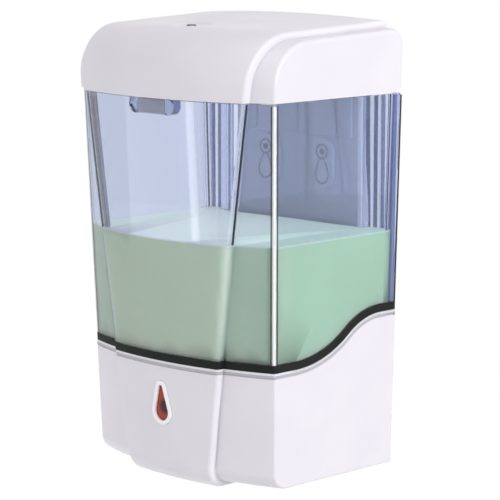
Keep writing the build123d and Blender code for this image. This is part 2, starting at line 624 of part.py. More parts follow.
def make_base_housing():
    """Base shell with its swept deck, the bead under the tank, the lip inside it and the seats it holds."""
    outer = housing(0, 0, BODY_EDGE_RADIUS)
    inner = housing(-BASE_WALL, OPEN_REAR)
    shell = outer - above_rim(0) - (inner - above_rim(-DECK_WALL))
    notch_half = TANK_RECESS_WIDTH / 2
    shell -= inner & block(-notch_half, notch_half, -TANK_BACK_DEPTH, FAR, -FAR, FAR)

    lip = tank_space(SKIRT_GAP) - tank_space(SKIRT_GAP + LIP_WIDTH)
    shell += lip & above_rim(-DECK_WALL / 2) - above_rim(LIP_HEIGHT)
    bead = (outer - tank_space(SKIRT_GAP)) & above_rim(0) - above_rim(BEAD_HEIGHT)
    shell += bead - block(-notch_half, notch_half, -TANK_BACK_DEPTH, FAR, -FAR, FAR)
    groove = above_rim(-BEAD_GROOVE_WIDTH / 2) - above_rim(BEAD_GROOVE_WIDTH / 2)
    shell -= groove - housing(-BEAD_GROOVE_DEPTH, OPEN_REAR)

    seats = Part()
    boss_face = -PLATE_WALL - PLATE_BOSS_RISE - SEAT_GAP
    boss_end = boss_face - BACK_SCREW_LENGTH - SCREW_RADIUS
    for x, z in back_screw_places():
        side = math.copysign(FOOT_REAR_WIDTH / 2, x)
        seats += along_y(x, z, SCREW_BOSS_RADIUS, boss_end, boss_face)
        seats += block(min(x, side), max(x, side), boss_end, boss_face, z - SCREW_RADIUS, z + SCREW_RADIUS)
    for x in (-PUMP_POST_SPACING / 2, PUMP_POST_SPACING / 2):
        seats += upright(x, -OUTLET_DEPTH, PUMP_POST_RADIUS, -PANEL_RISE, LUG_FOOT)
    post_front = -BOARD_FRONT_DEPTH - BOARD_POST_WALL
    post_rear = -BOARD_FRONT_DEPTH + BOARD_WALL + BOARD_POST_WALL
    post_inner = BOARD_WIDTH / 2 - BOARD_POST_GRIP
    post_top = BOARD_FOOT + BOARD_HEIGHT
    seats += both_sides(
        block(post_inner, post_inner + BOARD_POST_WIDTH, post_front, post_rear, -PANEL_RISE, post_top))
    shell += seats & housing(-BASE_WALL / 2, 0)

    board_half = BOARD_WIDTH / 2 + SEAT_GAP
    shell -= block(-board_half, board_half, -BOARD_FRONT_DEPTH - SEAT_GAP,
                   -BOARD_FRONT_DEPTH + BOARD_WALL + SEAT_GAP, BOARD_FOOT, post_top)
    for x, z in back_screw_places():
        shell -= along_y(x, z, SCREW_RADIUS + RUNNING_GAP, boss_face - BACK_SCREW_LENGTH, 0)
    for x in (-PUMP_POST_SPACING / 2, PUMP_POST_SPACING / 2):
        shell -= upright(x, -OUTLET_DEPTH, SCREW_RADIUS + RUNNING_GAP, LUG_FOOT - PUMP_SCREW_LENGTH, LUG_FOOT)

    shell -= drop_prism(BEZEL_WIDTH + SEAT_GAP) & block(-FAR, FAR, -FAR, -BOARD_FRONT_DEPTH, 0, FAR)
    shell -= upright(0, -OUTLET_DEPTH, SPIGOT_RADIUS + TUBE_WALL + LOOSE_GAP, PUMP_HEIGHT, FAR)
    shell -= upright(0, -OUTLET_DEPTH, NOZZLE_RADIUS + SEAT_GAP, -FAR, PANEL_FLOOR + SEAT_GAP)
    lens_half = LENS_WIDTH / 2 + SEAT_GAP
    lens_reach = LENS_LENGTH / 2 + SEAT_GAP
    shell -= block(-lens_half, lens_half, -LENS_DEPTH - lens_reach, -LENS_DEPTH + lens_reach, -FAR, BASE_WALL)
    door_half = BOX_INNER_LENGTH / 2
    shell -= block(-door_half, door_half, -BOX_INNER_FRONT, -BOX_INNER_REAR, -FAR, BASE_WALL + SEAT_GAP)
    pin_reach = door_half + DOOR_PIN_LENGTH
    shell -= along_x(-DOOR_AXIS_DEPTH, DOOR_AXIS_HEIGHT, DOOR_PIN_RADIUS + RUNNING_GAP, -pin_reach, pin_reach)
    slot_half = (SWITCH_KNOB_LENGTH + SWITCH_TRAVEL) / 2 + LOOSE_GAP
    slot_reach = SWITCH_KNOB_WIDTH / 2 + LOOSE_GAP
    shell -= Pos(SWITCH_X, -SWITCH_DEPTH, 0) * block(
        -slot_half, slot_half, -slot_reach, slot_reach, -FAR, BASE_WALL + SEAT_GAP)
    return shell


def make_tank():
    """Clear tank: stepped front, swept floor, a recess for the back plate and fluted rear corners."""
    outer = housing(0, -TANK_WALL_GAP, TANK_EDGE_RADIUS)
    tank = (outer & above_rim(BEAD_HEIGHT + RIM_GAP)) & below(TANK_TOP)
    tank -= tank_space(0) & above_rim(FLOOR_TOP)
    tank -= tank_space(0) - above_rim(FLOOR_FOOT)
    recess_half = TANK_RECESS_WIDTH / 2
    tank -= block(-recess_half, recess_half, -TANK_BACK_DEPTH, FAR, -FAR, FAR)
    flute_y = -TANK_WALL_GAP - FLUTE_DEPTH + FLUTE_RADIUS
    for step in range(3):
        tank -= both_sides(upright(FLUTE_START + step * FLUTE_SPACING, flute_y, FLUTE_RADIUS, 0, FAR))

    spigot = upright(0, -OUTLET_DEPTH, SPIGOT_RADIUS, SPIGOT_FOOT, RIM_FRONT_HEIGHT + FLOOR_TOP)
    tank += spigot
    tank -= upright(0, -OUTLET_DEPTH, SPIGOT_BORE, 0, SOAP_LEVEL)
    boss_face = -PLATE_WALL - PLATE_BOSS_RISE - SEAT_GAP
    boss_end = -TANK_BACK_DEPTH - TANK_WALL - TANK_BOSS_DEPTH
    for x, z in tank_screw_places():
        tank += along_y(x, z, SCREW_BOSS_RADIUS, boss_end, boss_face)
        tank -= along_y(x, z, SCREW_RADIUS + RUNNING_GAP, -SCREW_HEAD_HEIGHT - TANK_SCREW_LENGTH - LOOSE_GAP, 0)

    return tank + make_catch()


def make_catch():
    """Slotted striker inside the tank's front rim, with the hook that the lock's cam turns under."""
    striker_half = STRIKER_WIDTH / 2
    striker_foot = TANK_TOP - STRIKER_HEIGHT
    striker = block(-striker_half, striker_half, -FRONT_DEPTH, -CATCH_REAR, striker_foot, TANK_TOP)
    striker = fillet(striker.edges().filter_by(Axis.Y).sort_by(Axis.Z)[:2], STRIKER_CORNER_RADIUS)
    slot_half = STRIKER_SLOT_WIDTH / 2
    slot_front = -CATCH_FRONT - STRIKER_SLOT_DEPTH
    striker -= block(-slot_half, slot_half, slot_front, -CATCH_FRONT, striker_foot, TANK_TOP)

    hook_half = CATCH_WIDTH / 2
    hook_foot = CAM_TOP + CATCH_GAP
    hook_top = hook_foot + CATCH_WALL
    hook = block(-hook_half, hook_half, -CATCH_FRONT, -CATCH_REAR, striker_foot, hook_top)
    hook += block(-hook_half, hook_half, -CATCH_FRONT, -CATCH_REAR + CATCH_REACH, hook_foot, hook_top)
    return (striker + hook) & flank_loft(PANEL_RISE - TANK_WALL / 2, 0)


def make_tank_seal():
    """Dark seal on the base's lip, under the edge of the tank's floor."""
    ring = tank_space(SKIRT_GAP) - tank_space(SKIRT_GAP + LIP_WIDTH)
    foot = LIP_HEIGHT + SEAT_GAP
    return ring & above_rim(foot) - above_rim(foot + SEAL_HEIGHT)


def make_soap_fill():
    """Soap in the tank, up to its level, round the bosses of the tank's screws."""
    soap = (tank_space(SEAT_GAP) & above_rim(FLOOR_TOP + SEAT_GAP)) & below(SOAP_LEVEL)
    boss_end = -TANK_BACK_DEPTH - TANK_WALL - TANK_BOSS_DEPTH
    for x, z in tank_screw_places():
        soap -= along_y(x, z, SCREW_BOSS_RADIUS + SEAT_GAP, boss_end - SEAT_GAP, 0)
    return soap


def make_outlet_strainer():
    """Small slotted strainer at the top of the tank's outlet."""
    top = RIM_FRONT_HEIGHT + FLOOR_TOP
    disc = upright(0, -OUTLET_DEPTH, SPIGOT_BORE - RUNNING_GAP, top - STRAINER_HEIGHT, top)
    inner = upright(0, -OUTLET_DEPTH, SPIGOT_BORE - RUNNING_GAP - STRAINER_RING, 0, FAR)
    bars = block(-FAR, FAR, -OUTLET_DEPTH - STRAINER_SLOT / 2, -OUTLET_DEPTH + STRAINER_SLOT / 2, 0, FAR)
    return disc - (inner - bars)


def make_lid():
    """Moulded lid: side shoulders, raised panel, hinge knuckles and the lock's dish and boss."""
    outer = housing(LID_OVERHANG, -LID_WALL_GAP, LID_EDGE_RADIUS)
    inner = housing(LID_OVERHANG - LID_WALL, -LID_WALL_GAP - LID_WALL)
    lid = (outer - inner) - below(LID_FOOT)

    tower_half = PLATE_TOWER_WIDTH / 2 + LID_TOWER_GAP
    strip_foot = LID_TOP - LID_REAR_STRIP
    lid -= block(-tower_half, tower_half, -HINGE_DEPTH, FAR, 0, strip_foot)
    swing = along_x(-HINGE_DEPTH, HINGE_HEIGHT, HINGE_HEIGHT - LID_FOOT, -FAR, FAR)
    lid -= block(-FAR, FAR, -HINGE_DEPTH, FAR, 0, HINGE_HEIGHT) - swing

    knuckle_inner = HINGE_ARM_INNER + HINGE_ARM_WIDTH + LOOSE_GAP
    knuckle_outer = knuckle_inner + LID_KNUCKLE_WIDTH
    knuckle = along_x(-HINGE_DEPTH, HINGE_HEIGHT, HINGE_KNUCKLE_RADIUS, knuckle_inner, knuckle_outer)
    knuckle += block(knuckle_inner, knuckle_outer, -HINGE_DEPTH - HINGE_KNUCKLE_RADIUS,
                     -HINGE_DEPTH + HINGE_KNUCKLE_RADIUS, HINGE_HEIGHT, LID_TOP)
    boss = upright(0, -LOCK_DEPTH, LOCK_BOSS_RADIUS, LOCK_BOSS_FOOT, LID_TOP)
    within = housing(LID_OVERHANG - LID_WALL / 2, -LID_WALL_GAP - LID_WALL / 2)
    lid += (both_sides(knuckle) + boss) & within

    lid -= along_x(-HINGE_DEPTH, HINGE_HEIGHT, HINGE_PIN_RADIUS + RUNNING_GAP, -knuckle_outer, knuckle_outer)
    ball_radius = (LOCK_DISH_RADIUS**2 + LOCK_DISH_DEPTH**2) / (2 * LOCK_DISH_DEPTH)
    lid -= Pos(0, -LOCK_DEPTH, LOCK_TOP + ball_radius) * Sphere(ball_radius)
    lid -= upright(0, -LOCK_DEPTH, LOCK_BARREL_RADIUS + RUNNING_GAP, 0, FAR)
    head_seat = LOCK_TOP - LOCK_HEAD_HEIGHT - SEAT_GAP
    lid -= upright(0, -LOCK_DEPTH, LOCK_HEAD_RADIUS + RUNNING_GAP, head_seat, FAR)
    return lid


def make_lock_barrel():
    """Key barrel: flat head with a key slot, body, and the stub that carries the cam."""
    head_foot = LOCK_TOP - LOCK_HEAD_HEIGHT
    barrel = upright(0, -LOCK_DEPTH, LOCK_HEAD_RADIUS, head_foot, LOCK_TOP)
    barrel += upright(0, -LOCK_DEPTH, LOCK_BARREL_RADIUS, CLIP_TOP, head_foot)
    barrel += upright(0, -LOCK_DEPTH, LOCK_STUB_RADIUS, CAM_FOOT - LOCK_CLIP_HEIGHT, CLIP_TOP)
    slot = Pos(0, -LOCK_DEPTH, LOCK_TOP) * Box(KEY_SLOT_LENGTH, KEY_SLOT_WIDTH, 2 * KEY_SLOT_DEPTH)
    return barrel - slot


def make_lock_clip():
    """Spring clip on the barrel's stub, under the lid's boss."""
    clip = upright(0, -LOCK_DEPTH, LOCK_CLIP_RADIUS, CLIP_TOP - LOCK_CLIP_HEIGHT, CLIP_TOP)
    return clip - upright(0, -LOCK_DEPTH, LOCK_STUB_RADIUS + RUNNING_GAP, 0, FAR)


def make_lock_cam():
    """Cam that turns under the tank's catch, shown turned aside, with the lid unlocked."""
    hub = Circle(CAM_HUB_RADIUS)
    tip = Pos(CAM_LENGTH - CAM_TIP_RADIUS, 0) * Circle(CAM_TIP_RADIUS)
    plate = extrude(make_hull(hub.edges() + tip.edges()), amount=CAM_HEIGHT)
    cam = Pos(0, -LOCK_DEPTH, CAM_FOOT) * plate
    return cam - upright(0, -LOCK_DEPTH, LOCK_STUB_RADIUS + RUNNING_GAP, 0, FAR)


def make_sensor_window():
    """Dark red drop-shaped window, following the front panel just below its face."""
    skin = housing(-WINDOW_RECESS, 0) - housing(-BASE_WALL, 0)
    return drop_prism(-SEAT_GAP / 2) & skin


def make_window_bezel():
    """Raised pale rim round the window."""
    skin = housing(BEZEL_RISE, 0) - housing(-BASE_WALL, 0)
    return (drop_prism(BEZEL_WIDTH) - drop_prism(SEAT_GAP / 2)) & skin


def make_control_board():
    """Board that stands in the base's two grooved posts."""
    half = BOARD_WIDTH / 2
    top = BOARD_FOOT + BOARD_HEIGHT
    return block(-half, half, -BOARD_FRONT_DEPTH, -BOARD_FRONT_DEPTH + BOARD_WALL, BOARD_FOOT + SEAT_GAP, top)


def make_indicator_led():
    """Round-nosed light behind the window, standing on the board."""
    face = -BOARD_FRONT_DEPTH - SEAT_GAP
    led = along_y(0, WINDOW_HEIGHT, LED_RADIUS, face - LED_LENGTH + LED_RADIUS, face)
    return led + Pos(0, face - LED_LENGTH + LED_RADIUS, WINDOW_HEIGHT) * Sphere(LED_RADIUS)


def make_ir_lens():
    """Dark lens in the underside, through which the hand is sensed."""
    half = LENS_WIDTH / 2
    reach = LENS_LENGTH / 2
    flange_foot = PANEL_FLOOR + SEAT_GAP
    flange_top = flange_foot + LENS_FLANGE_HEIGHT
    lens = block(-half, half, -LENS_DEPTH - reach, -LENS_DEPTH + reach, -PANEL_RISE, flange_top)
    flange_half = half + LENS_FLANGE
    flange_reach = reach + LENS_FLANGE
    return lens + block(-flange_half, flange_half, -LENS_DEPTH - flange_reach, -LENS_DEPTH + flange_reach,
                        flange_foot, flange_top)


def make_ir_diodes():
    """Sender and receiver that look down through the lens."""
    foot = PANEL_FLOOR + LENS_FLANGE_HEIGHT + 2 * SEAT_GAP
    return both_sides(upright(DIODE_SPACING / 2, -LENS_DEPTH, DIODE_RADIUS, foot, foot + DIODE_HEIGHT))


def make_pump_body():
    """Pump block: two overlapping gear chambers, ports above and below, and lugs on the base's posts."""
    low = PUMP_FOOT
    high = PUMP_HEIGHT + PUMP_HALF_HEIGHT
    front = -OUTLET_DEPTH - PUMP_HALF_DEPTH
    rear = -OUTLET_DEPTH + PUMP_HALF_DEPTH
    pump = block(-CHAMBER_HALF, PUMP_FACE, front, rear, low, high)
    lug_half = PUMP_POST_SPACING / 2 + PUMP_POST_RADIUS
    pump += block(-lug_half, lug_half, -OUTLET_DEPTH - PUMP_LUG_WIDTH / 2, -OUTLET_DEPTH + PUMP_LUG_WIDTH / 2,
                  LUG_FOOT, low)
    pump += upright(0, -OUTLET_DEPTH, PUMP_NIPPLE_RADIUS, high, high + PUMP_NIPPLE_LENGTH)
    pump += upright(0, -OUTLET_DEPTH, PUMP_NIPPLE_RADIUS, LUG_FOOT - PUMP_NIPPLE_LENGTH, LUG_FOOT)
    for depth in (DRIVE_DEPTH, IDLER_DEPTH):
        pump -= along_x(-depth, PUMP_HEIGHT, CHAMBER_RADIUS, -FAR, CHAMBER_HALF)
    pump -= upright(0, -OUTLET_DEPTH, PUMP_PORT_RADIUS, 0, FAR)
    pump -= along_x(-DRIVE_DEPTH, PUMP_HEIGHT, SHAFT_RADIUS + RUNNING_GAP, 0, FAR)
    boss_foot = PUMP_FACE - MOTOR_BOSS_LENGTH - SEAT_GAP
    pump -= along_x(-DRIVE_DEPTH, PUMP_HEIGHT, MOTOR_BOSS_RADIUS + SEAT_GAP / 2, boss_foot, FAR)
    pump -= along_x(-IDLER_DEPTH, PUMP_HEIGHT, IDLER_PIN_RADIUS + RUNNING_GAP, 0, CHAMBER_HALF + PUMP_WALL)
    for y, z in cover_screw_places():
        tip = COVER_FACE + COVER_SCREW_LENGTH + SEAT_GAP
        pump -= along_x(y, z, SCREW_RADIUS + RUNNING_GAP, COVER_FACE, tip)
    for x in (-PUMP_POST_SPACING / 2, PUMP_POST_SPACING / 2):
        pump -= upright(x, -OUTLET_DEPTH, SCREW_RADIUS + RUNNING_GAP, LUG_FOOT, low)
    return pump


def pump_plate(x0, x1):
    """Plate of the pump's side outline between two limits, with its screw holes."""
    low = PUMP_HEIGHT - PUMP_HALF_HEIGHT
    high = PUMP_HEIGHT + PUMP_HALF_HEIGHT
    plate = block(x0, x1, -OUTLET_DEPTH - PUMP_HALF_DEPTH, -OUTLET_DEPTH + PUMP_HALF_DEPTH, low, high)
    for y, z in cover_screw_places():
        plate -= along_x(y, z, SCREW_RADIUS + RUNNING_GAP, -FAR, FAR)
    return plate


def make_pump_gasket():
    """Thin gasket between the pump block and its cover."""
    plate = pump_plate(-CHAMBER_HALF - PUMP_GASKET_WALL, -CHAMBER_HALF)
    for depth in (DRIVE_DEPTH, IDLER_DEPTH):
        plate -= along_x(-depth, PUMP_HEIGHT, CHAMBER_RADIUS, -FAR, FAR)
    return plate


def make_pump_cover():
    """Cover that closes the gear chambers and holds the far end of the idler's pin."""
    plate = pump_plate(COVER_FACE, -CHAMBER_HALF - PUMP_GASKET_WALL)
    pin_end = -CHAMBER_HALF - PUMP_WALL
    return plate - along_x(-IDLER_DEPTH, PUMP_HEIGHT, IDLER_PIN_RADIUS + RUNNING_GAP, pin_end, 0)


def make_idler_pin():
    """Fixed pin on which the idler gear runs."""
    reach = CHAMBER_HALF + PUMP_WALL - SEAT_GAP
    return along_x(-IDLER_DEPTH, PUMP_HEIGHT, IDLER_PIN_RADIUS, -reach, reach)


def make_drive_gear():
    """Gear on the motor's shaft, with a tooth pointing at the idler."""
    return gear(DRIVE_DEPTH, 0, SHAFT_RADIUS)


def make_idler_gear():
    """Gear that meshes with the drive gear, with a gap pointing at it."""
    return gear(IDLER_DEPTH, 180 / GEAR_TEETH, IDLER_PIN_RADIUS + RUNNING_GAP)


def make_motor_shaft():
    """Shaft from the drive gear right through the motor."""
    end = PUMP_FACE + MOTOR_LENGTH + MOTOR_CAP_LENGTH + MOTOR_SHAFT_TAIL
    return along_x(-DRIVE_DEPTH, PUMP_HEIGHT, SHAFT_RADIUS, -GEAR_WIDTH / 2, end)


def motor_section(x0, x1):
    """Round motor body with two flat sides, between two limits."""
    bar = along_x(-DRIVE_DEPTH, PUMP_HEIGHT, MOTOR_RADIUS, x0, x1)
    return bar & block(-FAR, FAR, -FAR, FAR, PUMP_HEIGHT - MOTOR_FLAT / 2, PUMP_HEIGHT + MOTOR_FLAT / 2)


def make_motor_can():
    """Steel motor can, its bearing boss let into the pump block."""
    can = motor_section(PUMP_FACE + SEAT_GAP, PUMP_FACE + MOTOR_LENGTH)
    boss_foot = PUMP_FACE - MOTOR_BOSS_LENGTH
    can += along_x(-DRIVE_DEPTH, PUMP_HEIGHT, MOTOR_BOSS_RADIUS, boss_foot, PUMP_FACE + SEAT_GAP)
    return can - along_x(-DRIVE_DEPTH, PUMP_HEIGHT, SHAFT_RADIUS + RUNNING_GAP, -FAR, FAR)


def make_motor_end_cap():
    """Plastic end cap of the motor with its two connection tags."""
    start = PUMP_FACE + MOTOR_LENGTH + SEAT_GAP
    end = start + MOTOR_CAP_LENGTH
    cap = motor_section(start, end)
    for y in (-MOTOR_RADIUS / 2, MOTOR_RADIUS / 2):
        middle = -DRIVE_DEPTH + y
        tag_half = MOTOR_TAG_WIDTH / 2
        tag_rise = PUMP_HEIGHT + MOTOR_TAG_WALL
        cap += block(end, end + MOTOR_TAG_LENGTH, middle - tag_half, middle + tag_half, PUMP_HEIGHT, tag_rise)
    return cap - along_x(-DRIVE_DEPTH, PUMP_HEIGHT, SHAFT_RADIUS + RUNNING_GAP, -FAR, FAR)


def tube(radius, z0, z1):
    """Soft tube pushed over two nipples of the same radius."""
    outer = upright(0, -OUTLET_DEPTH, radius + TUBE_WALL, z0, z1)
    return outer - upright(0, -OUTLET_DEPTH, radius + RUNNING_GAP, z0 - TUBE_WALL, z1 + TUBE_WALL)


def make_inlet_tube():
    """Tube from the tank's outlet to the top of the pump."""
    nipple_top = PUMP_HEIGHT + PUMP_HALF_HEIGHT + PUMP_NIPPLE_LENGTH
    return tube(SPIGOT_RADIUS, nipple_top - TUBE_GRIP, SPIGOT_FOOT + TUBE_GRIP)


def make_outlet_tube():
    """Tube from the foot of the pump to the nozzle."""
    nipple_foot = LUG_FOOT - PUMP_NIPPLE_LENGTH
    return tube(PUMP_NIPPLE_RADIUS, NOZZLE_NECK_TOP - TUBE_GRIP, nipple_foot + TUBE_GRIP)


def make_nozzle():
    """Spout through the underside, held by its flange, with a chamber for the valve."""
    foot = -PANEL_RISE - NOZZLE_DROP
    flange_foot = PANEL_FLOOR + SEAT_GAP
    nozzle = upright(0, -OUTLET_DEPTH, NOZZLE_RADIUS, foot, flange_foot)
    nozzle += upright(0, -OUTLET_DEPTH, NOZZLE_FLANGE_RADIUS, flange_foot, flange_foot + NOZZLE_FLANGE_HEIGHT)
    nozzle += upright(0, -OUTLET_DEPTH, PUMP_NIPPLE_RADIUS, flange_foot, NOZZLE_NECK_TOP)
    nozzle = chamfer(nozzle.faces().sort_by(Axis.Z)[0].edges(), NOZZLE_DROP / 4)
    nozzle -= upright(0, -OUTLET_DEPTH, PUMP_PORT_RADIUS, foot, NOZZLE_NECK_TOP)
    return nozzle - upright(0, -OUTLET_DEPTH, VALVE_RADIUS + SEAT_GAP, foot, foot + VALVE_HEIGHT + SEAT_GAP)


def make_nozzle_valve():
    """Soft duckbill valve that stops drips."""
    foot = -PANEL_RISE - NOZZLE_DROP
    valve = upright(0, -OUTLET_DEPTH, VALVE_RADIUS, foot + SEAT_GAP, foot + VALVE_HEIGHT)
    bore = VALVE_HEIGHT - 3 * VALVE_SLIT
    valve -= upright(0, -OUTLET_DEPTH, PUMP_PORT_RADIUS, foot + VALVE_HEIGHT - bore, foot + VALVE_HEIGHT)
    return valve - Pos(0, -OUTLET_DEPTH, foot) * Box(2 * PUMP_PORT_RADIUS, VALVE_SLIT, 2 * VALVE_HEIGHT)


def make_battery_box():
    """Box that stands on the base's floor round the battery opening, open below."""
    half = BOX_INNER_LENGTH / 2
    outer = block(-half - BOX_WALL, half + BOX_WALL, -BOX_INNER_FRONT - BOX_WALL, -BOX_REAR_DEPTH,
                  BASE_WALL + SEAT_GAP, BOX_INNER_TOP + BOX_WALL)
    return outer - block(-half, half, -BOX_INNER_FRONT, -BOX_INNER_REAR, 0, BOX_INNER_TOP)


def make_cell(y, z, facing):
    """One cell along X, with its tip to the right for facing 1 and to the left for -1."""
    middle = -facing * CELL_TIP_LENGTH / 2
    half = CELL_LENGTH / 2
    can = along_x(y, z, CELL_RADIUS, middle - half, middle + half)
    can = fillet(can.edges(), CELL_TIP_LENGTH / 2)
    ends = sorted((middle, middle + facing * (half + CELL_TIP_LENGTH)))
    return can + along_x(y, z, CELL_TIP_RADIUS, *ends)


def make_battery_contacts():
    """Sheet metal contacts at both ends of the box, each joining the two cells of a column."""
    inner = BOX_INNER_LENGTH / 2 - CELL_GAP
    pitch = 2 * CELL_RADIUS + CELL_GAP
    plates = Part()
    for y, z in cell_places()[:2]:
        low = z - CONTACT_WIDTH / 2
        high = z + pitch + CONTACT_WIDTH / 2
        plate = block(inner - CONTACT_WALL, inner, y - CONTACT_WIDTH / 2, y + CONTACT_WIDTH / 2, low, high)
        plates += both_sides(plate)
    return plates


def make_battery_door():
    """Door in the underside, hinged on two stub pins at its rear edge, with a finger scoop at the front."""
    half = BOX_INNER_LENGTH / 2 - DOOR_GAP
    front = -BOX_INNER_FRONT + DOOR_GAP
    top = BASE_WALL - DOOR_INSET
    door = block(-half, half, front, -DOOR_AXIS_DEPTH, DOOR_INSET, top)
    door += along_x(-DOOR_AXIS_DEPTH, DOOR_AXIS_HEIGHT, DOOR_THICKNESS / 2, -half, half)
    pin_half = BOX_INNER_LENGTH / 2 + DOOR_PIN_LENGTH - SEAT_GAP
    door += along_x(-DOOR_AXIS_DEPTH, DOOR_AXIS_HEIGHT, DOOR_PIN_RADIUS, -pin_half, pin_half)
    scoop_y = front + DOOR_SCOOP_RADIUS / 2
    return door - upright(0, scoop_y, DOOR_SCOOP_RADIUS, -FAR, DOOR_INSET + DOOR_SCOOP_DEPTH)


def make_switch_body():
    """Slide switch on the base's floor, open below for its slider."""
    half = SWITCH_BODY_LENGTH / 2
    reach = SWITCH_BODY_WIDTH / 2
    foot = BASE_WALL + SEAT_GAP
    body = block(-half, half, -reach, reach, foot, foot + SWITCH_BODY_HEIGHT)
    body -= block(-half + SWITCH_WALL, half - SWITCH_WALL, -reach + SWITCH_WALL, reach - SWITCH_WALL,
                  0, foot + SWITCH_BODY_HEIGHT - SWITCH_WALL)
    return Pos(SWITCH_X, -SWITCH_DEPTH, 0) * body


def make_switch_slider():
    """Slider at the left end of its travel, its knob just below the underside."""
    left = -(SWITCH_PLATE_LENGTH + SWITCH_TRAVEL) / 2
    middle = -SWITCH_TRAVEL / 2
    reach = SWITCH_BODY_WIDTH / 2 - SWITCH_WALL - LOOSE_GAP
    foot = BASE_WALL + 2 * SEAT_GAP
    slider = block(left, left + SWITCH_PLATE_LENGTH, -reach, reach, foot, foot + SWITCH_PLATE_HEIGHT)
    knob_half = SWITCH_KNOB_LENGTH / 2
    knob_reach = SWITCH_KNOB_WIDTH / 2
    slider += block(middle - knob_half, middle + knob_half, -knob_reach, knob_reach, -SWITCH_KNOB_DROP, foot)
    return Pos(SWITCH_X, -SWITCH_DEPTH, 0) * slider


def make_back_screws():
    """Screws from behind through the back plate into the base."""
    seat = -SCREW_HEAD_HEIGHT
    turned = Rot(-90, 0, 0) * screw(BACK_SCREW_LENGTH + PLATE_WALL + PLATE_BOSS_RISE - SCREW_HEAD_HEIGHT)
    return Part() + [Pos(x, seat, z) * turned for x, z in back_screw_places()]


def make_tank_screws():
    """Screws from behind through the back plate into the tank."""
    seat = -SCREW_HEAD_HEIGHT
    turned = Rot(-90, 0, 0) * screw(TANK_SCREW_LENGTH)
    return Part() + [Pos(x, seat, z) * turned for x, z in tank_screw_places()]


def make_pump_screws():
    """Screws that hold the pump's lugs to the base's posts."""
    upper = screw(PUMP_SCREW_LENGTH + PUMP_LUG_WALL - SEAT_GAP)
    places = (-PUMP_POST_SPACING / 2, PUMP_POST_SPACING / 2)
    return Part() + [Pos(x, -OUTLET_DEPTH, PUMP_FOOT) * upper for x in places]


def make_cover_screws():
    """Screws that close the pump's cover."""
    turned = Rot(0, -90, 0) * screw(COVER_SCREW_LENGTH)
    return Part() + [Pos(COVER_FACE, y, z) * turned for y, z in cover_screw_places()]


def save(name, shape):
    """Write one piece, lowered so that the origin lies midway between the keyholes."""
    export_step(Pos(0, 0, -HANG_HEIGHT) * shape, f"parts/{name}.step")


def main():
    """Build and write every piece."""
    os.makedirs("parts", exist_ok=True)
    save("back_plate", make_back_plate())
    save("base_housing", make_base_housing())
    save("tank", make_tank())
    save("tank_seal", make_tank_seal())
    save("soap_fill", make_soap_fill())
    save("outlet_strainer", make_outlet_strainer())
    save("lid", make_lid())
    save("hinge_pin", make_hinge_pin())
    save("lock_barrel", make_lock_barrel())
    save("lock_clip", make_lock_clip())
    save("lock_cam", make_lock_cam())
    save("sensor_window", make_sensor_window())
    save("window_bezel", make_window_bezel())
    save("control_board", make_control_board())
    save("indicator_led", make_indicator_led())
    save("ir_lens", make_ir_lens())
    save("ir_diodes", make_ir_diodes())
    save("pump_body", make_pump_body())
    save("pump_gasket", make_pump_gasket())
    save("pump_cover", make_pump_cover())
    save("idler_pin", make_idler_pin())
    save("drive_gear", make_drive_gear())
    save("idler_gear", make_idler_gear())
    save("motor_shaft", make_motor_shaft())
    save("motor_can", make_motor_can())
    save("motor_end_cap", make_motor_end_cap())
    save("inlet_tube", make_inlet_tube())
    save("outlet_tube", make_outlet_tube())
    save("nozzle", make_nozzle())
    save("nozzle_valve", make_nozzle_valve())
    save("battery_box", make_battery_box())
    for number, (y, z) in enumerate(cell_places(), start=1):
        save(f"battery_{number}", make_cell(y, z, 1 if number in (1, 4) else -1))
    save("battery_contacts", make_battery_contacts())
    save("battery_door", make_battery_door())
    save("switch_body", make_switch_body())
    save("switch_slider", make_switch_slider())
    save("back_screws", make_back_screws())
    save("tank_screws", make_tank_screws())
    save("pump_screws", make_pump_screws())
    save("cover_screws", make_cover_screws())


if __name__ == "__main__":
    main()
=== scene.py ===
"""Dressed model of a wall mounted soap dispenser: a clear tank between a moulded base and a hinged lid."""

import logging
import math
from dataclasses import dataclass, field
from enum import Enum
from typing import ClassVar

import bmesh
import bpy
import numpy
from mathutils import Matrix, Vector


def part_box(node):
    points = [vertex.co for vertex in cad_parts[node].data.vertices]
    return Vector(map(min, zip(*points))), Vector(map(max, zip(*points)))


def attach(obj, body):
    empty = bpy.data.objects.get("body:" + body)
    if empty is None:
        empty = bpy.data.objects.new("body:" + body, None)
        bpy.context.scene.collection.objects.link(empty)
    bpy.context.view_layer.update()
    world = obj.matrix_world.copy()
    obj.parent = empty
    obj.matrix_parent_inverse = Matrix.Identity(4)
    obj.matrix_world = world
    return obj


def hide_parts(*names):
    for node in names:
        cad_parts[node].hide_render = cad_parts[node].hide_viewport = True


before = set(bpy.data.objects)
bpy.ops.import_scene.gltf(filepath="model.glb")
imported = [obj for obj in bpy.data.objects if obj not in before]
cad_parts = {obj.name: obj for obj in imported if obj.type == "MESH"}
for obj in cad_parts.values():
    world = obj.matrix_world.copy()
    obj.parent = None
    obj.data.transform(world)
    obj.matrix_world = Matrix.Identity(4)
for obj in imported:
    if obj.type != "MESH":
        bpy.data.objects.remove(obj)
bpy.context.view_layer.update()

Tree = bpy.types.NodeTree
Socket = bpy.types.NodeSocket
Outputs = bpy.types.NodeOutputs
Mesh = bpy.types.Mesh
Thing = bpy.types.Object
Shape = bmesh.types.BMesh
Span = tuple[float, float]
Point = tuple[float, float, float]
Path = list[Point]

LOG = logging.getLogger("soap_dispenser")
MM = 0.001
# Height of the drawing's zero, the foot of the side walls, below the frame's origin
FOOT = -132.0
# Corners of a node's loose triangles that lie nearer than this are one corner
MERGE = 0.002 * MM
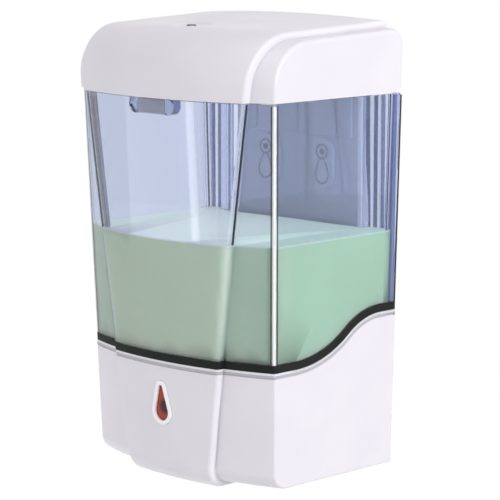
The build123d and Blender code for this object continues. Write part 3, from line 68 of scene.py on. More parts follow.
# Edges of a CAD node and of a drawn piece that turn more than this stay sharp
NODE_CREASE = math.radians(28)
PIECE_CREASE = math.radians(30)
EVEN_WEIGHT = 80
QUARTER = math.radians(90)
# Settings of blends and of eased ranges, and the range that most of a noise lies in
BLEND = {"data_type": "RGBA"}
EASED = {"interpolation_type": "SMOOTHERSTEP"}
NOISE_SPAN = {"From Min": 0.15, "From Max": 0.85}
# Octaves of finer grain on a noise: few leave soft clouds, more break them into wisps
SOFT, GRAINY, WISPY = 2.0, 3.0, 4.0


class Body(Enum):
    """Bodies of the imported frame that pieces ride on."""

    HOUSING = "housing"
    LOCK = "lock"
    DOOR = "battery_door"


class Facing(Enum):
    """Which way the tip of a cell points along X."""

    RIGHT = 1
    LEFT = -1


def linear(code: str) -> tuple[float, float, float, float]:
    """Turn an sRGB hex colour into linear light.

    Args:
        code: Six hex digits after a hash sign.

    Returns:
        Red, green, blue and an alpha of one.
    """
    shares = [int(code[i:i + 2], 16) / 255 for i in (1, 3, 5)]
    red, green, blue = [c / 12.92 if c <= 0.04045 else ((c + 0.055) / 1.055) ** 2.4 for c in shares]
    return red, green, blue, 1.0


def add_node(tree: Tree, kind: str, settings: dict | None = None, values: dict | None = None,
             links: dict | None = None) -> bpy.types.Node:
    """Add one node to a tree.

    Args:
        tree: Shader or geometry tree.
        kind: Blender's name for the kind of node.
        settings: Properties of the node itself.
        values: Constants by input socket.
        links: Output sockets by input socket.

    Returns:
        The new node.
    """
    node = tree.nodes.new(kind)
    for name, value in (settings or {}).items():
        setattr(node, name, value)
    for socket, value in (values or {}).items():
        node.inputs[socket].default_value = value
    for socket, source in (links or {}).items():
        tree.links.new(source, node.inputs[socket])
    return node


@dataclass(frozen=True)
class Finish:
    """A material's name and base colours, and the steps that every finish shares."""

    name: str
    colour: str
    second: str

    def material(self) -> bpy.types.Material:
        """Build the material.

        Returns:
            A new material with this finish.
        """
        material = bpy.data.materials.new(self.name)
        material.use_nodes = True
        tree = material.node_tree
        tree.nodes.clear()
        self.draw(tree, add_node(tree, "ShaderNodeTexCoord").outputs)
        return material

    def draw(self, tree: Tree, coords: Outputs) -> None:
        """Draw the nodes of this kind of finish.

        Args:
            tree: The material's empty tree.
            coords: Outputs of its texture coordinates.
        """
        raise NotImplementedError

    def surface(self, tree: Tree, values: dict, links: dict) -> bpy.types.Node:
        """Add the shader and the output that shows it.

        Args:
            tree: The material's tree.
            values: The shader's constants.
            links: What drives its other sockets.

        Returns:
            The output node.
        """
        shader = add_node(tree, "ShaderNodeBsdfPrincipled", values=values, links=links)
        return add_node(tree, "ShaderNodeOutputMaterial", links={"Surface": shader.outputs[0]})

    def noise(self, tree: Tree, place: Socket, grain: float, detail: float = GRAINY) -> Socket:
        """Add a noise with grains of a real size in millimetres, and octaves of finer grain on top."""
        values = {"Scale": 1 / (grain * MM), "Detail": detail}
        return add_node(tree, "ShaderNodeTexNoise", values=values, links={"Vector": place}).outputs[0]

    def both(self) -> dict[str, tuple]:
        """Give the two colours as the ends of a blend."""
        return {"A": linear(self.colour), "B": linear(self.second)}

    def clouds(self, tree: Tree, value: Socket, most: float) -> Socket:
        """Blend the two colours by a noise.

        Args:
            tree: The material's tree.
            value: The noise.
            most: Largest share of the second colour.

        Returns:
            The blended colour.
        """
        share = add_node(tree, "ShaderNodeMapRange", EASED, {**NOISE_SPAN, "To Max": most}, {0: value})
        return add_node(tree, "ShaderNodeMix", BLEND, self.both(), {0: share.outputs[0]}).outputs["Result"]

    def bump(self, tree: Tree, height: Socket, depth: float) -> Socket:
        """Turn a value into a relief of a real depth in millimetres."""
        values = {"Strength": 1.0, "Distance": depth * MM}
        return add_node(tree, "ShaderNodeBump", values=values, links={"Height": height}).outputs[0]


@dataclass(frozen=True)
class MouldedPlastic(Finish):
    """Injection-moulded plastic: a satin face with spark-eroded grain, faint flow clouds and painted shade in its
    corners.
    """

    roughness: float = 0.32
    spread: float = 0.03
    # Real grain is under a tenth of a millimetre; it is drawn coarser so that it shows
    grain: float = 0.5
    relief: float = 0.006
    cloud: float = 38.0
    cloud_share: float = 0.5
    # Painted shade: colour, strength, reach and rays of the darkening in corners and creases
    grime: str = "#8F8B96"
    grime_share: float = 0.45
    grime_reach: float = 1.6
    grime_rays: int = 8
    refraction: float = 1.53

    def draw(self, tree: Tree, coords: Outputs) -> None:
        """Draw the clouds in colour and gloss, the grain, and the painted shade in corners."""
        cloud = self.noise(tree, coords["Object"], self.cloud, SOFT)
        fine = self.noise(tree, coords["Object"], self.grain)
        gloss = {"To Min": self.roughness - self.spread, "To Max": self.roughness + self.spread}
        rough = add_node(tree, "ShaderNodeMapRange", EASED, {**NOISE_SPAN, **gloss}, {0: cloud})
        # Painted shade: ambient occlusion darkens the colour in corners and creases, where shade falls
        open_air = add_node(tree, "ShaderNodeAmbientOcclusion", {"samples": self.grime_rays, "only_local": True},
                            {"Distance": self.grime_reach * MM})
        corner_shade_amount = add_node(tree, "ShaderNodeMapRange", values={"To Min": self.grime_share, "To Max": 0.0},
                          links={0: open_air.outputs["AO"]})
        corner_shaded_tone = add_node(tree, "ShaderNodeMix", BLEND, {"B": linear(self.grime)},
                          {0: corner_shade_amount.outputs[0], "A": self.clouds(tree, cloud, self.cloud_share)})
        self.surface(tree, {"IOR": self.refraction},
                     {"Base Color": corner_shaded_tone.outputs["Result"], "Roughness": rough.outputs[0],
                      "Normal": self.bump(tree, fine, self.relief)})


@dataclass(frozen=True)
class ClearPlastic(Finish):
    """Clear moulded styrene: bends what is behind it, with a cool tint that deepens in walls and edges, and
    painted shade on the walls that face sideways.
    """

    # Painted shade: a darker, greener tint on walls that face sideways, for the shade their side of the tank is
    # in
    side: str = "#E7EDF2"
    side_turn: Span = (0.6, 0.9)
    lamp: str = "#F2F4F9"
    polish: float = 0.006
    haze: float = 0.02
    cloud: float = 30.0
    density: float = 100.0
    refraction: float = 1.52

    def draw(self, tree: Tree, coords: Outputs) -> None:
        """Draw the tint, the painted shade on side walls and a slight haze, and let lamps through to what is
        inside.
        """
        rough = add_node(tree, "ShaderNodeMapRange", values={"To Min": self.polish, "To Max": self.haze},
                         links={0: self.noise(tree, coords["Object"], self.cloud, SOFT)})
        # Painted shade: the side tint's share grows as the normal turns towards X
        across = add_node(tree, "ShaderNodeSeparateXYZ", links={0: coords["Normal"]}).outputs["X"]
        turned = add_node(tree, "ShaderNodeMath", {"operation": "ABSOLUTE"}, links={0: across})
        share = add_node(tree, "ShaderNodeMapRange", links={0: turned.outputs[0]},
                         values={"From Min": self.side_turn[0], "From Max": self.side_turn[1]})
        tone = add_node(tree, "ShaderNodeMix", BLEND, {"A": linear(self.colour), "B": linear(self.side)},
                        {0: share.outputs[0]})
        end = self.surface(tree, {"IOR": self.refraction, "Transmission Weight": 1.0},
                           {"Base Color": tone.outputs["Result"], "Roughness": rough.outputs[0]}).inputs
        path = add_node(tree, "ShaderNodeLightPath").outputs
        clear = add_node(tree, "ShaderNodeBsdfTransparent", values={"Color": linear(self.lamp)})
        shown = add_node(tree, "ShaderNodeMixShader", links={
            0: path["Is Shadow Ray"], 1: end["Surface"].links[0].from_socket, 2: clear.outputs[0]})
        tint = add_node(tree, "ShaderNodeVolumeAbsorption",
                        values={"Color": linear(self.second), "Density": self.density})
        tree.links.new(shown.outputs[0], end["Surface"])
        tree.links.new(tint.outputs[0], end["Volume"])


@dataclass(frozen=True)
class MilkySoap(Finish):
    """Pearly liquid soap: light sinks in and comes back soft, with slow swirls, a warmer front painted for the
    light on it, and a top painted paler and glowing.
    """

    # Painted highlight: the top is painted paler near the level, less so across X
    skin: str = "#F8FFF2"
    skin_depth: Span = (0.8, 0.1)
    skin_fade: Span = (0.0, 62.0)
    skin_least: float = 0.4
    # Painted light: a glow on the top faces, standing in for the light the liquid carries up from its lit sides
    glow: str = "#788A72"
    glow_turn: Span = (0.7, 0.95)
    # Painted light: a warmer, paler tone on the front, for the light that falls on it
    front: str = "#CFDDBC"
    front_depth: Span = (66.0, 90.0)
    level: float = 110.0
    roughness: float = 0.25
    gloss: float = 0.12
    swirl: float = 30.0
    swirl_share: float = 0.35
    scatter: float = 0.7
    scatter_depth: float = 9.0
    scatter_tint: Point = (0.7, 1.0, 0.85)
    refraction: float = 1.40

    def draw(self, tree: Tree, coords: Outputs) -> None:
        """Draw the swirls, the front's painted light, the top's painted highlight and its painted glow."""
        place, turned = (add_node(tree, "ShaderNodeSeparateXYZ", links={0: coords[kind]}).outputs
                         for kind in ("Object", "Normal"))
        top = (self.level + FOOT) * MM
        near, upper, top_highlight_across, glowing_top = (
            add_node(tree, "ShaderNodeMapRange", links={0: value},
                     values={"From Min": low, "From Max": high, "To Min": first, "To Max": last}).outputs[0]
            for value, low, high, first, last in (
                (place["Y"], -self.front_depth[0] * MM, -self.front_depth[1] * MM, 0.0, 1.0),
                (place["Z"], top - self.skin_depth[0] * MM, top - self.skin_depth[1] * MM, 0.0, 1.0),
                (place["X"], self.skin_fade[0] * MM, self.skin_fade[1] * MM, 1.0, self.skin_least),
                (turned["Z"], *self.glow_turn, 0.0, 1.0)))
        swirl = self.noise(tree, coords["Object"], self.swirl, WISPY)
        # Painted light: the front tone blends in towards the front
        body = add_node(tree, "ShaderNodeMix", BLEND, {"B": linear(self.front)},
                        {0: near, "A": self.clouds(tree, swirl, self.swirl_share)})
        pale = add_node(tree, "ShaderNodeMath", {"operation": "MULTIPLY"}, links={0: upper, 1: top_highlight_across})
        # Painted highlight: the paler top
        tone = add_node(tree, "ShaderNodeMix", BLEND, {"B": linear(self.skin)},
                        {0: pale.outputs[0], "A": body.outputs["Result"]})
        light = add_node(tree, "ShaderNodeMix", BLEND, {"A": linear("#000000"), "B": linear(self.glow)},
                         {0: glowing_top})
        self.surface(tree, {"Roughness": self.roughness, "IOR": self.refraction, "Emission Strength": 1.0,
                            "Specular IOR Level": self.gloss, "Subsurface Weight": self.scatter,
                            "Subsurface Radius": self.scatter_tint,
                            "Subsurface Scale": self.scatter_depth * MM},
                     {"Base Color": tone.outputs["Result"], "Emission Color": light.outputs["Result"]})


@dataclass(frozen=True)
class SoftRubber(Finish):
    """Moulded rubber or silicone: dull, with a dusty bloom and a fine grain."""

    roughness: float = 0.62
    # Drawn coarser than the real grain so that it shows
    grain: float = 0.35
    relief: float = 0.01
    bloom: float = 9.0
    bloom_share: float = 0.6
    clear: float = 0.0
    gloss: float = 0.5
    refraction: float = 1.45

    def draw(self, tree: Tree, coords: Outputs) -> None:
        """Draw the bloom and the grain."""
        bloom = self.noise(tree, coords["Object"], self.bloom, WISPY)
        fine = self.noise(tree, coords["Object"], self.grain)
        self.surface(tree, {"Roughness": self.roughness, "IOR": self.refraction,
                            "Specular IOR Level": self.gloss, "Transmission Weight": self.clear},
                     {"Base Color": self.clouds(tree, bloom, self.bloom_share),
                      "Normal": self.bump(tree, fine, self.relief)})


@dataclass(frozen=True)
class PlatedMetal(Finish):
    """Drawn and plated metal: bright, with fine lines along the drawing direction."""

    roughness: float = 0.28
    duller: Span = (-0.08, 0.12)
    # Real drawing lines are finer; they are drawn coarser so that they show
    line: float = 0.25
    stretch: float = 30.0
    stain: float = 6.0
    stain_share: float = 0.6
    relief: float = 0.004

    def draw(self, tree: Tree, coords: Outputs) -> None:
        """Draw the lines and faint stains."""
        drawn = add_node(tree, "ShaderNodeMapping", values={"Scale": (1 / self.stretch, 1, 1)},
                         links={"Vector": coords["Object"]})
        lines = self.noise(tree, drawn.outputs[0], self.line)
        stain = self.noise(tree, coords["Object"], self.stain)
        low, high = (self.roughness + change for change in self.duller)
        rough = add_node(tree, "ShaderNodeMapRange", values={"To Min": low, "To Max": high}, links={0: lines})
        self.surface(tree, {"Metallic": 1.0},
                     {"Base Color": self.clouds(tree, stain, self.stain_share), "Roughness": rough.outputs[0],
                      "Normal": self.bump(tree, lines, self.relief)})


@dataclass(frozen=True)
class TintedWindow(Finish):
    """Dyed polycarbonate: wet gloss and deep red, with painted shade, near black, in the middle over the well
    behind it.
    """

    centre: Point = (0.0, 0.0, 0.0)
    well: float = 3.4
    soft: float = 1.2
    haze: float = 2.5
    haze_least: float = 0.75
    roughness: float = 0.12
    gloss: float = 0.25
    refraction: float = 1.58

    def draw(self, tree: Tree, coords: Outputs) -> None:
        """Draw the painted shade of the well, with its soft, slightly clouded edge."""
        # Painted shade: darker towards the centre, for the shade in the well behind
        middle = tuple(value * MM for value in self.centre)
        away = add_node(tree, "ShaderNodeVectorMath", {"operation": "DISTANCE"}, {1: middle},
                        {0: coords["Object"]})
        edge = add_node(tree, "ShaderNodeMapRange", links={0: away.outputs["Value"]}, values={
            "From Min": (self.well + self.soft) * MM, "From Max": (self.well - self.soft) * MM})
        haze = add_node(tree, "ShaderNodeMapRange", values={"To Min": self.haze_least, "To Max": 1.0},
                        links={0: self.noise(tree, coords["Object"], self.haze, SOFT)})
        share = add_node(tree, "ShaderNodeMath", {"operation": "MULTIPLY"},
                         links={0: edge.outputs[0], 1: haze.outputs[0]})
        tone = add_node(tree, "ShaderNodeMix", BLEND, self.both(), {0: share.outputs[0]})
        self.surface(tree, {"Roughness": self.roughness, "IOR": self.refraction,
                            "Specular IOR Level": self.gloss}, {"Base Color": tone.outputs["Result"]})


@dataclass(frozen=True)
class CircuitBoard(Finish):
    """Glass-epoxy board under green solder mask: paler tracks show through a slight gloss."""

    track: float = 2.4
    track_edge: Span = (0.05, 0.12)
    relief: float = 0.03
    roughness: float = 0.35

    def draw(self, tree: Tree, coords: Outputs) -> None:
        """Draw the tracks."""
        cells = add_node(tree, "ShaderNodeTexVoronoi", {"feature": "DISTANCE_TO_EDGE", "distance": "EUCLIDEAN"},
                         {"Scale": 1 / (self.track * MM)}, {"Vector": coords["Object"]})
        low, high = self.track_edge
        share = add_node(tree, "ShaderNodeMapRange", links={0: cells.outputs[0]}, values={
            "From Min": low, "From Max": high, "To Min": 1.0, "To Max": 0.0}).outputs[0]
        tone = add_node(tree, "ShaderNodeMix", BLEND, self.both(), {0: share})
        self.surface(tree, {"Roughness": self.roughness},
                     {"Base Color": tone.outputs["Result"], "Normal": self.bump(tree, share, self.relief)})


@dataclass(frozen=True)
class PrintedSleeve(Finish):
    """Shrunk printed film round a cell: gloss, dark, with a coppery band at the tip's end."""

    facing: Facing = Facing.RIGHT
    band: float = 12.0
    band_blur: float = 0.01
    wrinkle: float = 5.0
    relief: float = 0.02
    roughness: float = 0.22

    def draw(self, tree: Tree, coords: Outputs) -> None:
        """Draw the band and slight wrinkles."""
        along = add_node(tree, "ShaderNodeSeparateXYZ", links={0: coords["Object"]}).outputs["X"]
        edge = self.facing.value * self.band * MM
        step = add_node(tree, "ShaderNodeMapRange", links={0: along},
                        values={"From Min": edge, "From Max": edge * (1 + self.band_blur)})
        tone = add_node(tree, "ShaderNodeMix", BLEND, self.both(), {0: step.outputs[0]})
        wrinkle = self.noise(tree, coords["Object"], self.wrinkle, SOFT)
        self.surface(tree, {"Roughness": self.roughness},
                     {"Base Color": tone.outputs["Result"], "Normal": self.bump(tree, wrinkle, self.relief)})


# Satin white with a touch of lilac, on the base, lid and door
WHITE = MouldedPlastic("abs_moulded_white", "#E4E1E9", "#DAD6E0")
# Brighter and glossier, so that the window's rim stands out; on the plate field's border it is a painted
# highlight
RIM_WHITE = MouldedPlastic("abs_moulded_gloss_white", "#FBFAFC", "#F4F2F6", roughness=0.18, grime_share=0.2)
# Plain and rather matt, as a back is left
PLATE_WHITE = MouldedPlastic("abs_moulded_plate", "#F4F5F4", "#EBECEB", roughness=0.45)
# Matt black with a coarser grain
BLACK = MouldedPlastic("abs_moulded_black", "#1B1C1E", "#26282B", roughness=0.5, relief=0.02)
# Waxy mid grey, and a light grey painted as shade along lines
GREY = MouldedPlastic("acetal_moulded_grey", "#8B8F94", "#7C8086", roughness=0.42)
SHADE_GREY = MouldedPlastic("abs_moulded_light_grey", "#B4B2BA", "#A7A5AE", roughness=0.4)
# Painted shade: the dull lavender that thick clear plastic shows in its shaded flutes
FLUTE_SHADE = MouldedPlastic("styrene_moulded_lavender", "#A3ABD3", "#979FCB", roughness=0.3, grime_share=0.0)
# Waxy and warm, as undyed gears are
CREAM = MouldedPlastic("acetal_moulded_natural", "#E6E0CE", "#D9D2BC", roughness=0.36)
# Clear with a cool cast; and frosted white rods that paint the highlight along its front corners
CLEAR = ClearPlastic("styrene_moulded_clear", "#FDFDFF", "#6F8ECF")
CORNER_HIGHLIGHT = MouldedPlastic("styrene_moulded_frosted", "#F2EFE6", "#E8E4D8", roughness=0.3, grime_share=0.0)
# Milky mint
SOAP = MilkySoap("liquid_soap_pearl_mint", "#B5D3AF", "#C2DDBE")
# Dull black with a bloom; a deeper black painted for shade in the panel's creases and for the dark band along the
# tank's joint; and milky tubing
RUBBER = SoftRubber("nitrile_moulded_black", "#161B1A", "#2A302E")
DEEP_BLACK = SoftRubber("nitrile_moulded_deep_black", "#0A0F0E", "#141918", gloss=0.25)
SILICONE = SoftRubber("silicone_extruded_milky", "#D9DEE0", "#C7CFD2", roughness=0.4, clear=0.35)
# Cool bright screws, a duller casting, warm contacts and soft bright solder
STEEL = PlatedMetal("steel_zinc_plated", "#B9BBBE", "#A5A8AC")
CORE_METAL = PlatedMetal("zinc_die_cast", "#84868C", "#6E7076", roughness=0.4)
NICKEL = PlatedMetal("brass_nickel_plated", "#D2C9AE", "#B8AE90", roughness=0.22)
SOLDER = PlatedMetal("tin_reflowed", "#C9CBCD", "#AEB1B4", roughness=0.34)
# Red with painted shade near black in the middle, smoke with painted shade over the sensor, and a lit red
WINDOW = TintedWindow("polycarbonate_dyed_red", "#A03A31", "#120405", centre=(1.6, -92.0, 32.5 + FOOT))
LENS = TintedWindow("polycarbonate_dyed_smoke", "#3A1014", "#120405", centre=(0, -73.0, -3.0 + FOOT), well=6.0)
LED = TintedWindow("epoxy_cast_red", "#C8201E", "#7A0C0C", centre=(0, -80.0, 30.0 + FOOT), well=2.0)
# Deep green with paler lines
BOARD = CircuitBoard("glass_epoxy_solder_mask", "#1C5A37", "#3B8154")
# Dark film with a coppery end
TIP_RIGHT = PrintedSleeve("film_printed_tip_right", "#20262E", "#B4733C", Facing.RIGHT)
TIP_LEFT = PrintedSleeve("film_printed_tip_left", "#20262E", "#B4733C", Facing.LEFT)


class MaterialShelf:
    """Builds each finish once and hands out its material."""

    def __init__(self) -> None:
        """Start empty."""
        self.made: dict[str, bpy.types.Material] = {}

    def get(self, finish: Finish) -> bpy.types.Material:
        """Give a finish's material, built at its first use.

        Args:
            finish: The finish.

        Returns:
            Its material.
        """
        if finish.name not in self.made:
            self.made[finish.name] = finish.material()
        return self.made[finish.name]


SHELF = MaterialShelf()


def dress_node(node: str, finish: Finish) -> None:
    """Give a CAD node its finish and smooth its facets, with its real edges kept sharp.

    Args:
        node: Name of the node.
        finish: What it is made of.
    """
    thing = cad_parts[node]
    thing.data.materials.clear()
    thing.data.materials.append(SHELF.get(finish))
    for face in thing.data.polygons:
        face.use_smooth = True
    thing.modifiers.new("weld", "WELD").merge_threshold = MERGE
    thing.modifiers.new("sharp", "EDGE_SPLIT").split_angle = NODE_CREASE
    weigh_normals(thing)
    LOG.info("dressed %s in %s", node, finish.name)


def weigh_normals(thing: Thing) -> None:
    """Let an object's large faces set its shading."""
    even = thing.modifiers.new("even", "WEIGHTED_NORMAL")
    even.weight, even.keep_sharp = EVEN_WEIGHT, True


def place_mesh(name: str, mesh: Mesh, finish: Finish, body: Body = Body.HOUSING,
               smooth: bool = True) -> Thing:
    """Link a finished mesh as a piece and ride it.

    Args:
        name: The piece's name.
        mesh: Its mesh, in metres, in place.
        finish: What it is made of.
        body: What it moves with.
        smooth: Whether its shading is still to be set.

    Returns:
        The new object.
    """
    piece = bpy.data.objects.new(name, mesh)
    bpy.context.scene.collection.objects.link(piece)
    if smooth:
        mesh.shade_smooth()
        mesh.set_sharp_from_angle(angle=PIECE_CREASE)
    mesh.materials.clear()
    mesh.materials.append(SHELF.get(finish))
    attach(piece, body.value)
    LOG.info("built %s in %s", name, finish.name)
    return piece


def drawn_mesh(shape: Shape) -> Mesh:
    """Turn a drawn shape into a mesh and free it.

    Args:
        shape: The shape, in metres.

    Returns:
        A new mesh.
    """
    mesh = bpy.data.meshes.new("drawn")
    shape.to_mesh(mesh)
    shape.free()
    return mesh


def helper(shape: Shape) -> Thing:
    """Link a drawn shape as an object that only helps to make another.

    Args:
        shape: The shape, in metres.

    Returns:
        The object.
    """
    thing = bpy.data.objects.new("helper", drawn_mesh(shape))
    bpy.context.scene.collection.objects.link(thing)
    return thing


def evaluated(*things: Thing) -> Mesh:
    """Apply an object's modifiers, and remove it and its helpers.

    Args:
        things: The object, then the helpers.

    Returns:
        The finished mesh.
    """
    bpy.context.view_layer.update()
    graph = bpy.context.evaluated_depsgraph_get()
    mesh = bpy.data.meshes.new_from_object(things[0].evaluated_get(graph))
    for thing in things:
        bpy.data.objects.remove(thing)
    return mesh


def boolean(shape: Shape, others: list[Shape], operation: str) -> Mesh:
    """Join a shape with others by exact booleans.

    Args:
        shape: The shape to change.
        others: What it is cut or crossed with.
        operation: Blender's name for the operation.

    Returns:
        The finished mesh.
    """
    solid = helper(shape)
    cutters = [helper(other) for other in others]
    for cutter in cutters:
        step = solid.modifiers.new("cut", "BOOLEAN")
        step.operation, step.solver, step.object = operation, "EXACT", cutter
    return evaluated(solid, *cutters)


def node_copy(node: str) -> Shape:
    """Copy a CAD node with its loose triangles merged.

    Args:
        node: Name of the node.

    Returns:
        The copy.
    """
    shape = bmesh.new()
    shape.from_mesh(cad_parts[node].data)
    bmesh.ops.remove_doubles(shape, verts=shape.verts, dist=MERGE)
    return shape


def bevelled_box(size: Point, bevel: float, lift: float = 0.0) -> Shape:
    """Draw a box with rounded edges about the origin, or raised from it.

    Args:
        size: Its sides in millimetres.
        bevel: Width of the rounding in millimetres.
        lift: How far it is raised, in millimetres.

    Returns:
        A closed shape.
    """
    shape = bmesh.new()
    bmesh.ops.create_cube(shape, size=1.0)
    bmesh.ops.scale(shape, vec=Vector(size) * MM, verts=shape.verts)
    bmesh.ops.bevel(shape, geom=shape.edges[:], offset=bevel * MM, segments=2, profile=0.5, affect="EDGES")
    bmesh.ops.translate(shape, vec=(0, 0, lift * MM), verts=shape.verts)
    return shape


def lathe(profile: tuple[Span, ...] | list[Span], steps: int = 28) -> Shape:
    """Turn a profile of radius and height, in millimetres, about Z.

    Args:
        profile: Points from one end on the axis to the other.
        steps: Faces round the axis.

    Returns:
        A closed shape.
    """
    shape = bmesh.new()
    points = [shape.verts.new((radius * MM, 0, height * MM)) for radius, height in profile]
    edges = [shape.edges.new(pair) for pair in zip(points, points[1:])]
    bmesh.ops.spin(shape, geom=points + edges, cent=(0, 0, 0), axis=(0, 0, 1), angle=2 * math.pi, steps=steps)
    bmesh.ops.remove_doubles(shape, verts=shape.verts, dist=MERGE / 2)
    bmesh.ops.recalc_face_normals(shape, faces=shape.faces)
    return shape


def stub(radius: float, foot: float, height: float, rim: float) -> list[Span]:
    """Give the profile of a short cylinder with a chamfered top, in millimetres."""
    return [(0, foot), (radius, foot), (radius, height - rim), (radius - rim, height), (0, height)]


def at(x: float, y: float, z: float, turn: float = 0.0, axis: str = "X") -> Matrix:
    """Give a place in millimetres, its height from the foot, after a turn about an axis."""
    return Matrix.Translation(Vector((x, y, z + FOOT)) * MM) @ Matrix.Rotation(turn, 4, axis)


@dataclass
class PieceMaker:
    """Geometry Nodes tree with named inputs that makes a plain mesh from a drawn guide."""

    tree: Tree = field(init=False)
    keys: dict[str, str] = field(init=False, default_factory=dict)
    inputs: ClassVar[dict[str, str]] = {}

    def __post_init__(self) -> None:
        """Build the tree with its inputs, and end it with one solid in one material."""
        self.tree = bpy.data.node_groups.new(type(self).__name__, "GeometryNodeTree")
        sockets = self.tree.interface
        sockets.new_socket("Geometry", in_out="OUTPUT", socket_type="NodeSocketGeometry")
        for name, kind in {"Guide": "Object", **self.inputs, "Finish": "Material"}.items():
            self.keys[name] = sockets.new_socket(name, in_out="INPUT", socket_type=f"NodeSocket{kind}").identifier
        given = add_node(self.tree, "NodeGroupInput").outputs
        guide = add_node(self.tree, "GeometryNodeObjectInfo", links={"Object": given["Guide"]})
        solid = add_node(self.tree, "GeometryNodeRealizeInstances",
                         links={0: self.draw(given, guide.outputs["Geometry"])})
        finished = add_node(self.tree, "GeometryNodeSetMaterial",
                            links={"Geometry": solid.outputs[0], "Material": given["Finish"]})
        add_node(self.tree, "NodeGroupOutput", links={0: finished.outputs[0]})

    def draw(self, given: Outputs, guide: Socket) -> Socket:
        """Draw the nodes of this kind of maker.

        Args:
            given: The tree's inputs.
            guide: The guide's geometry.

        Returns:
            The geometry made from it.
        """
        raise NotImplementedError

    def mesh(self, guide: Shape, finish: Finish, values: dict[str, float]) -> Mesh:
        """Run the tree on a guide.

        Args:
            guide: What is repeated or followed, in metres.
            finish: What the result is made of.
            values: The tree's other inputs by name.

        Returns:
            One plain mesh.
        """
        drawn, holder = helper(guide), helper(bmesh.new())
        nodes = holder.modifiers.new("maker", "NODES")
        nodes.node_group = self.tree
        for name, value in {"Guide": drawn, **values, "Finish": SHELF.get(finish)}.items():
            nodes[self.keys[name]] = value
        return evaluated(holder, drawn)


@dataclass
class PartGrid(PieceMaker):
    """Repeats a part over a grid, centred on the origin."""

    inputs: ClassVar[dict[str, str]] = {"Columns": "Int", "Rows": "Int", "Column Spacing": "Float",
                                        "Row Spacing": "Float"}

    def draw(self, given: Outputs, guide: Socket) -> Socket:
        """Draw the grid and set the part on its points."""
        spans = []
        for count, spacing in (("Columns", "Column Spacing"), ("Rows", "Row Spacing")):
            gaps = add_node(self.tree, "ShaderNodeMath", {"operation": "SUBTRACT"}, {1: 1.0}, {0: given[count]})
            spans.append(add_node(self.tree, "ShaderNodeMath", {"operation": "MULTIPLY"},
                                  links={0: gaps.outputs[0], 1: given[spacing]}).outputs[0])
        grid = add_node(self.tree, "GeometryNodeMeshGrid",
                        links={0: spans[0], 1: spans[1], 2: given["Columns"], 3: given["Rows"]})
        return add_node(self.tree, "GeometryNodeInstanceOnPoints",
                        links={"Points": grid.outputs["Mesh"], "Instance": guide}).outputs[0]

    def piece(self, name: str, shape: Shape, counts: tuple[int, int], spacings: Span, place: Matrix,
              finish: Finish, slot: str, body: Body = Body.HOUSING) -> Thing:
        """Make one piece of a repeated shape.

        Args:
            name: The piece's name.
            shape: The part, about the origin.
            counts: Parts along X and along Y.
            spacings: Distances along X and along Y in millimetres.
            place: Where the grid's middle goes.
            finish: What it is made of.
            slot: Not used.
            body: What it moves with.

        Returns:
            The new object.
        """
        mesh = self.mesh(shape, finish, {"Columns": counts[0], "Rows": counts[1],
                                         "Column Spacing": spacings[0] * MM, "Row Spacing": spacings[1] * MM})
        mesh.transform(place)
        return place_mesh(name, mesh, finish, body)


@dataclass
class RoundCord(PieceMaker):
    """Sweeps a round section along paths."""

    inputs: ClassVar[dict[str, str]] = {"Radius": "Float", "Sides": "Int"}

    def draw(self, given: Outputs, guide: Socket) -> Socket:
        """Draw the section and sweep it."""
        lines = add_node(self.tree, "GeometryNodeMeshToCurve", links={0: guide})
        section = add_node(self.tree, "GeometryNodeCurvePrimitiveCircle",
                           links={"Resolution": given["Sides"], "Radius": given["Radius"]})
        return add_node(self.tree, "GeometryNodeCurveToMesh", values={"Fill Caps": True},
                        links={"Curve": lines.outputs[0], "Profile Curve": section.outputs[0]}).outputs[0]

    def piece(self, name: str, paths: list[Path], radius: float, finish: Finish, slot: str,
              closed: bool = False, sides: int = 14) -> None:
        """Make one piece of cords along paths.

        Args:
            name: The piece's name.
            paths: Points of each path in millimetres, heights from the foot.
            radius: Radius of the section in millimetres.
            finish: What it is made of.
            slot: Not used.
            closed: Whether each path joins its own start.
            sides: Faces round the section.
        """
        lines = bmesh.new()
        for path in paths:
            points = [lines.verts.new(Vector((x, y, z + FOOT)) * MM) for x, y, z in path]
            for pair in zip(points, points[1:] + points[:1] if closed else points[1:]):
                lines.edges.new(pair)
        place_mesh(name, self.mesh(lines, finish, {"Radius": radius * MM, "Sides": sides}), finish)


GRID = PartGrid()
CORD = RoundCord()


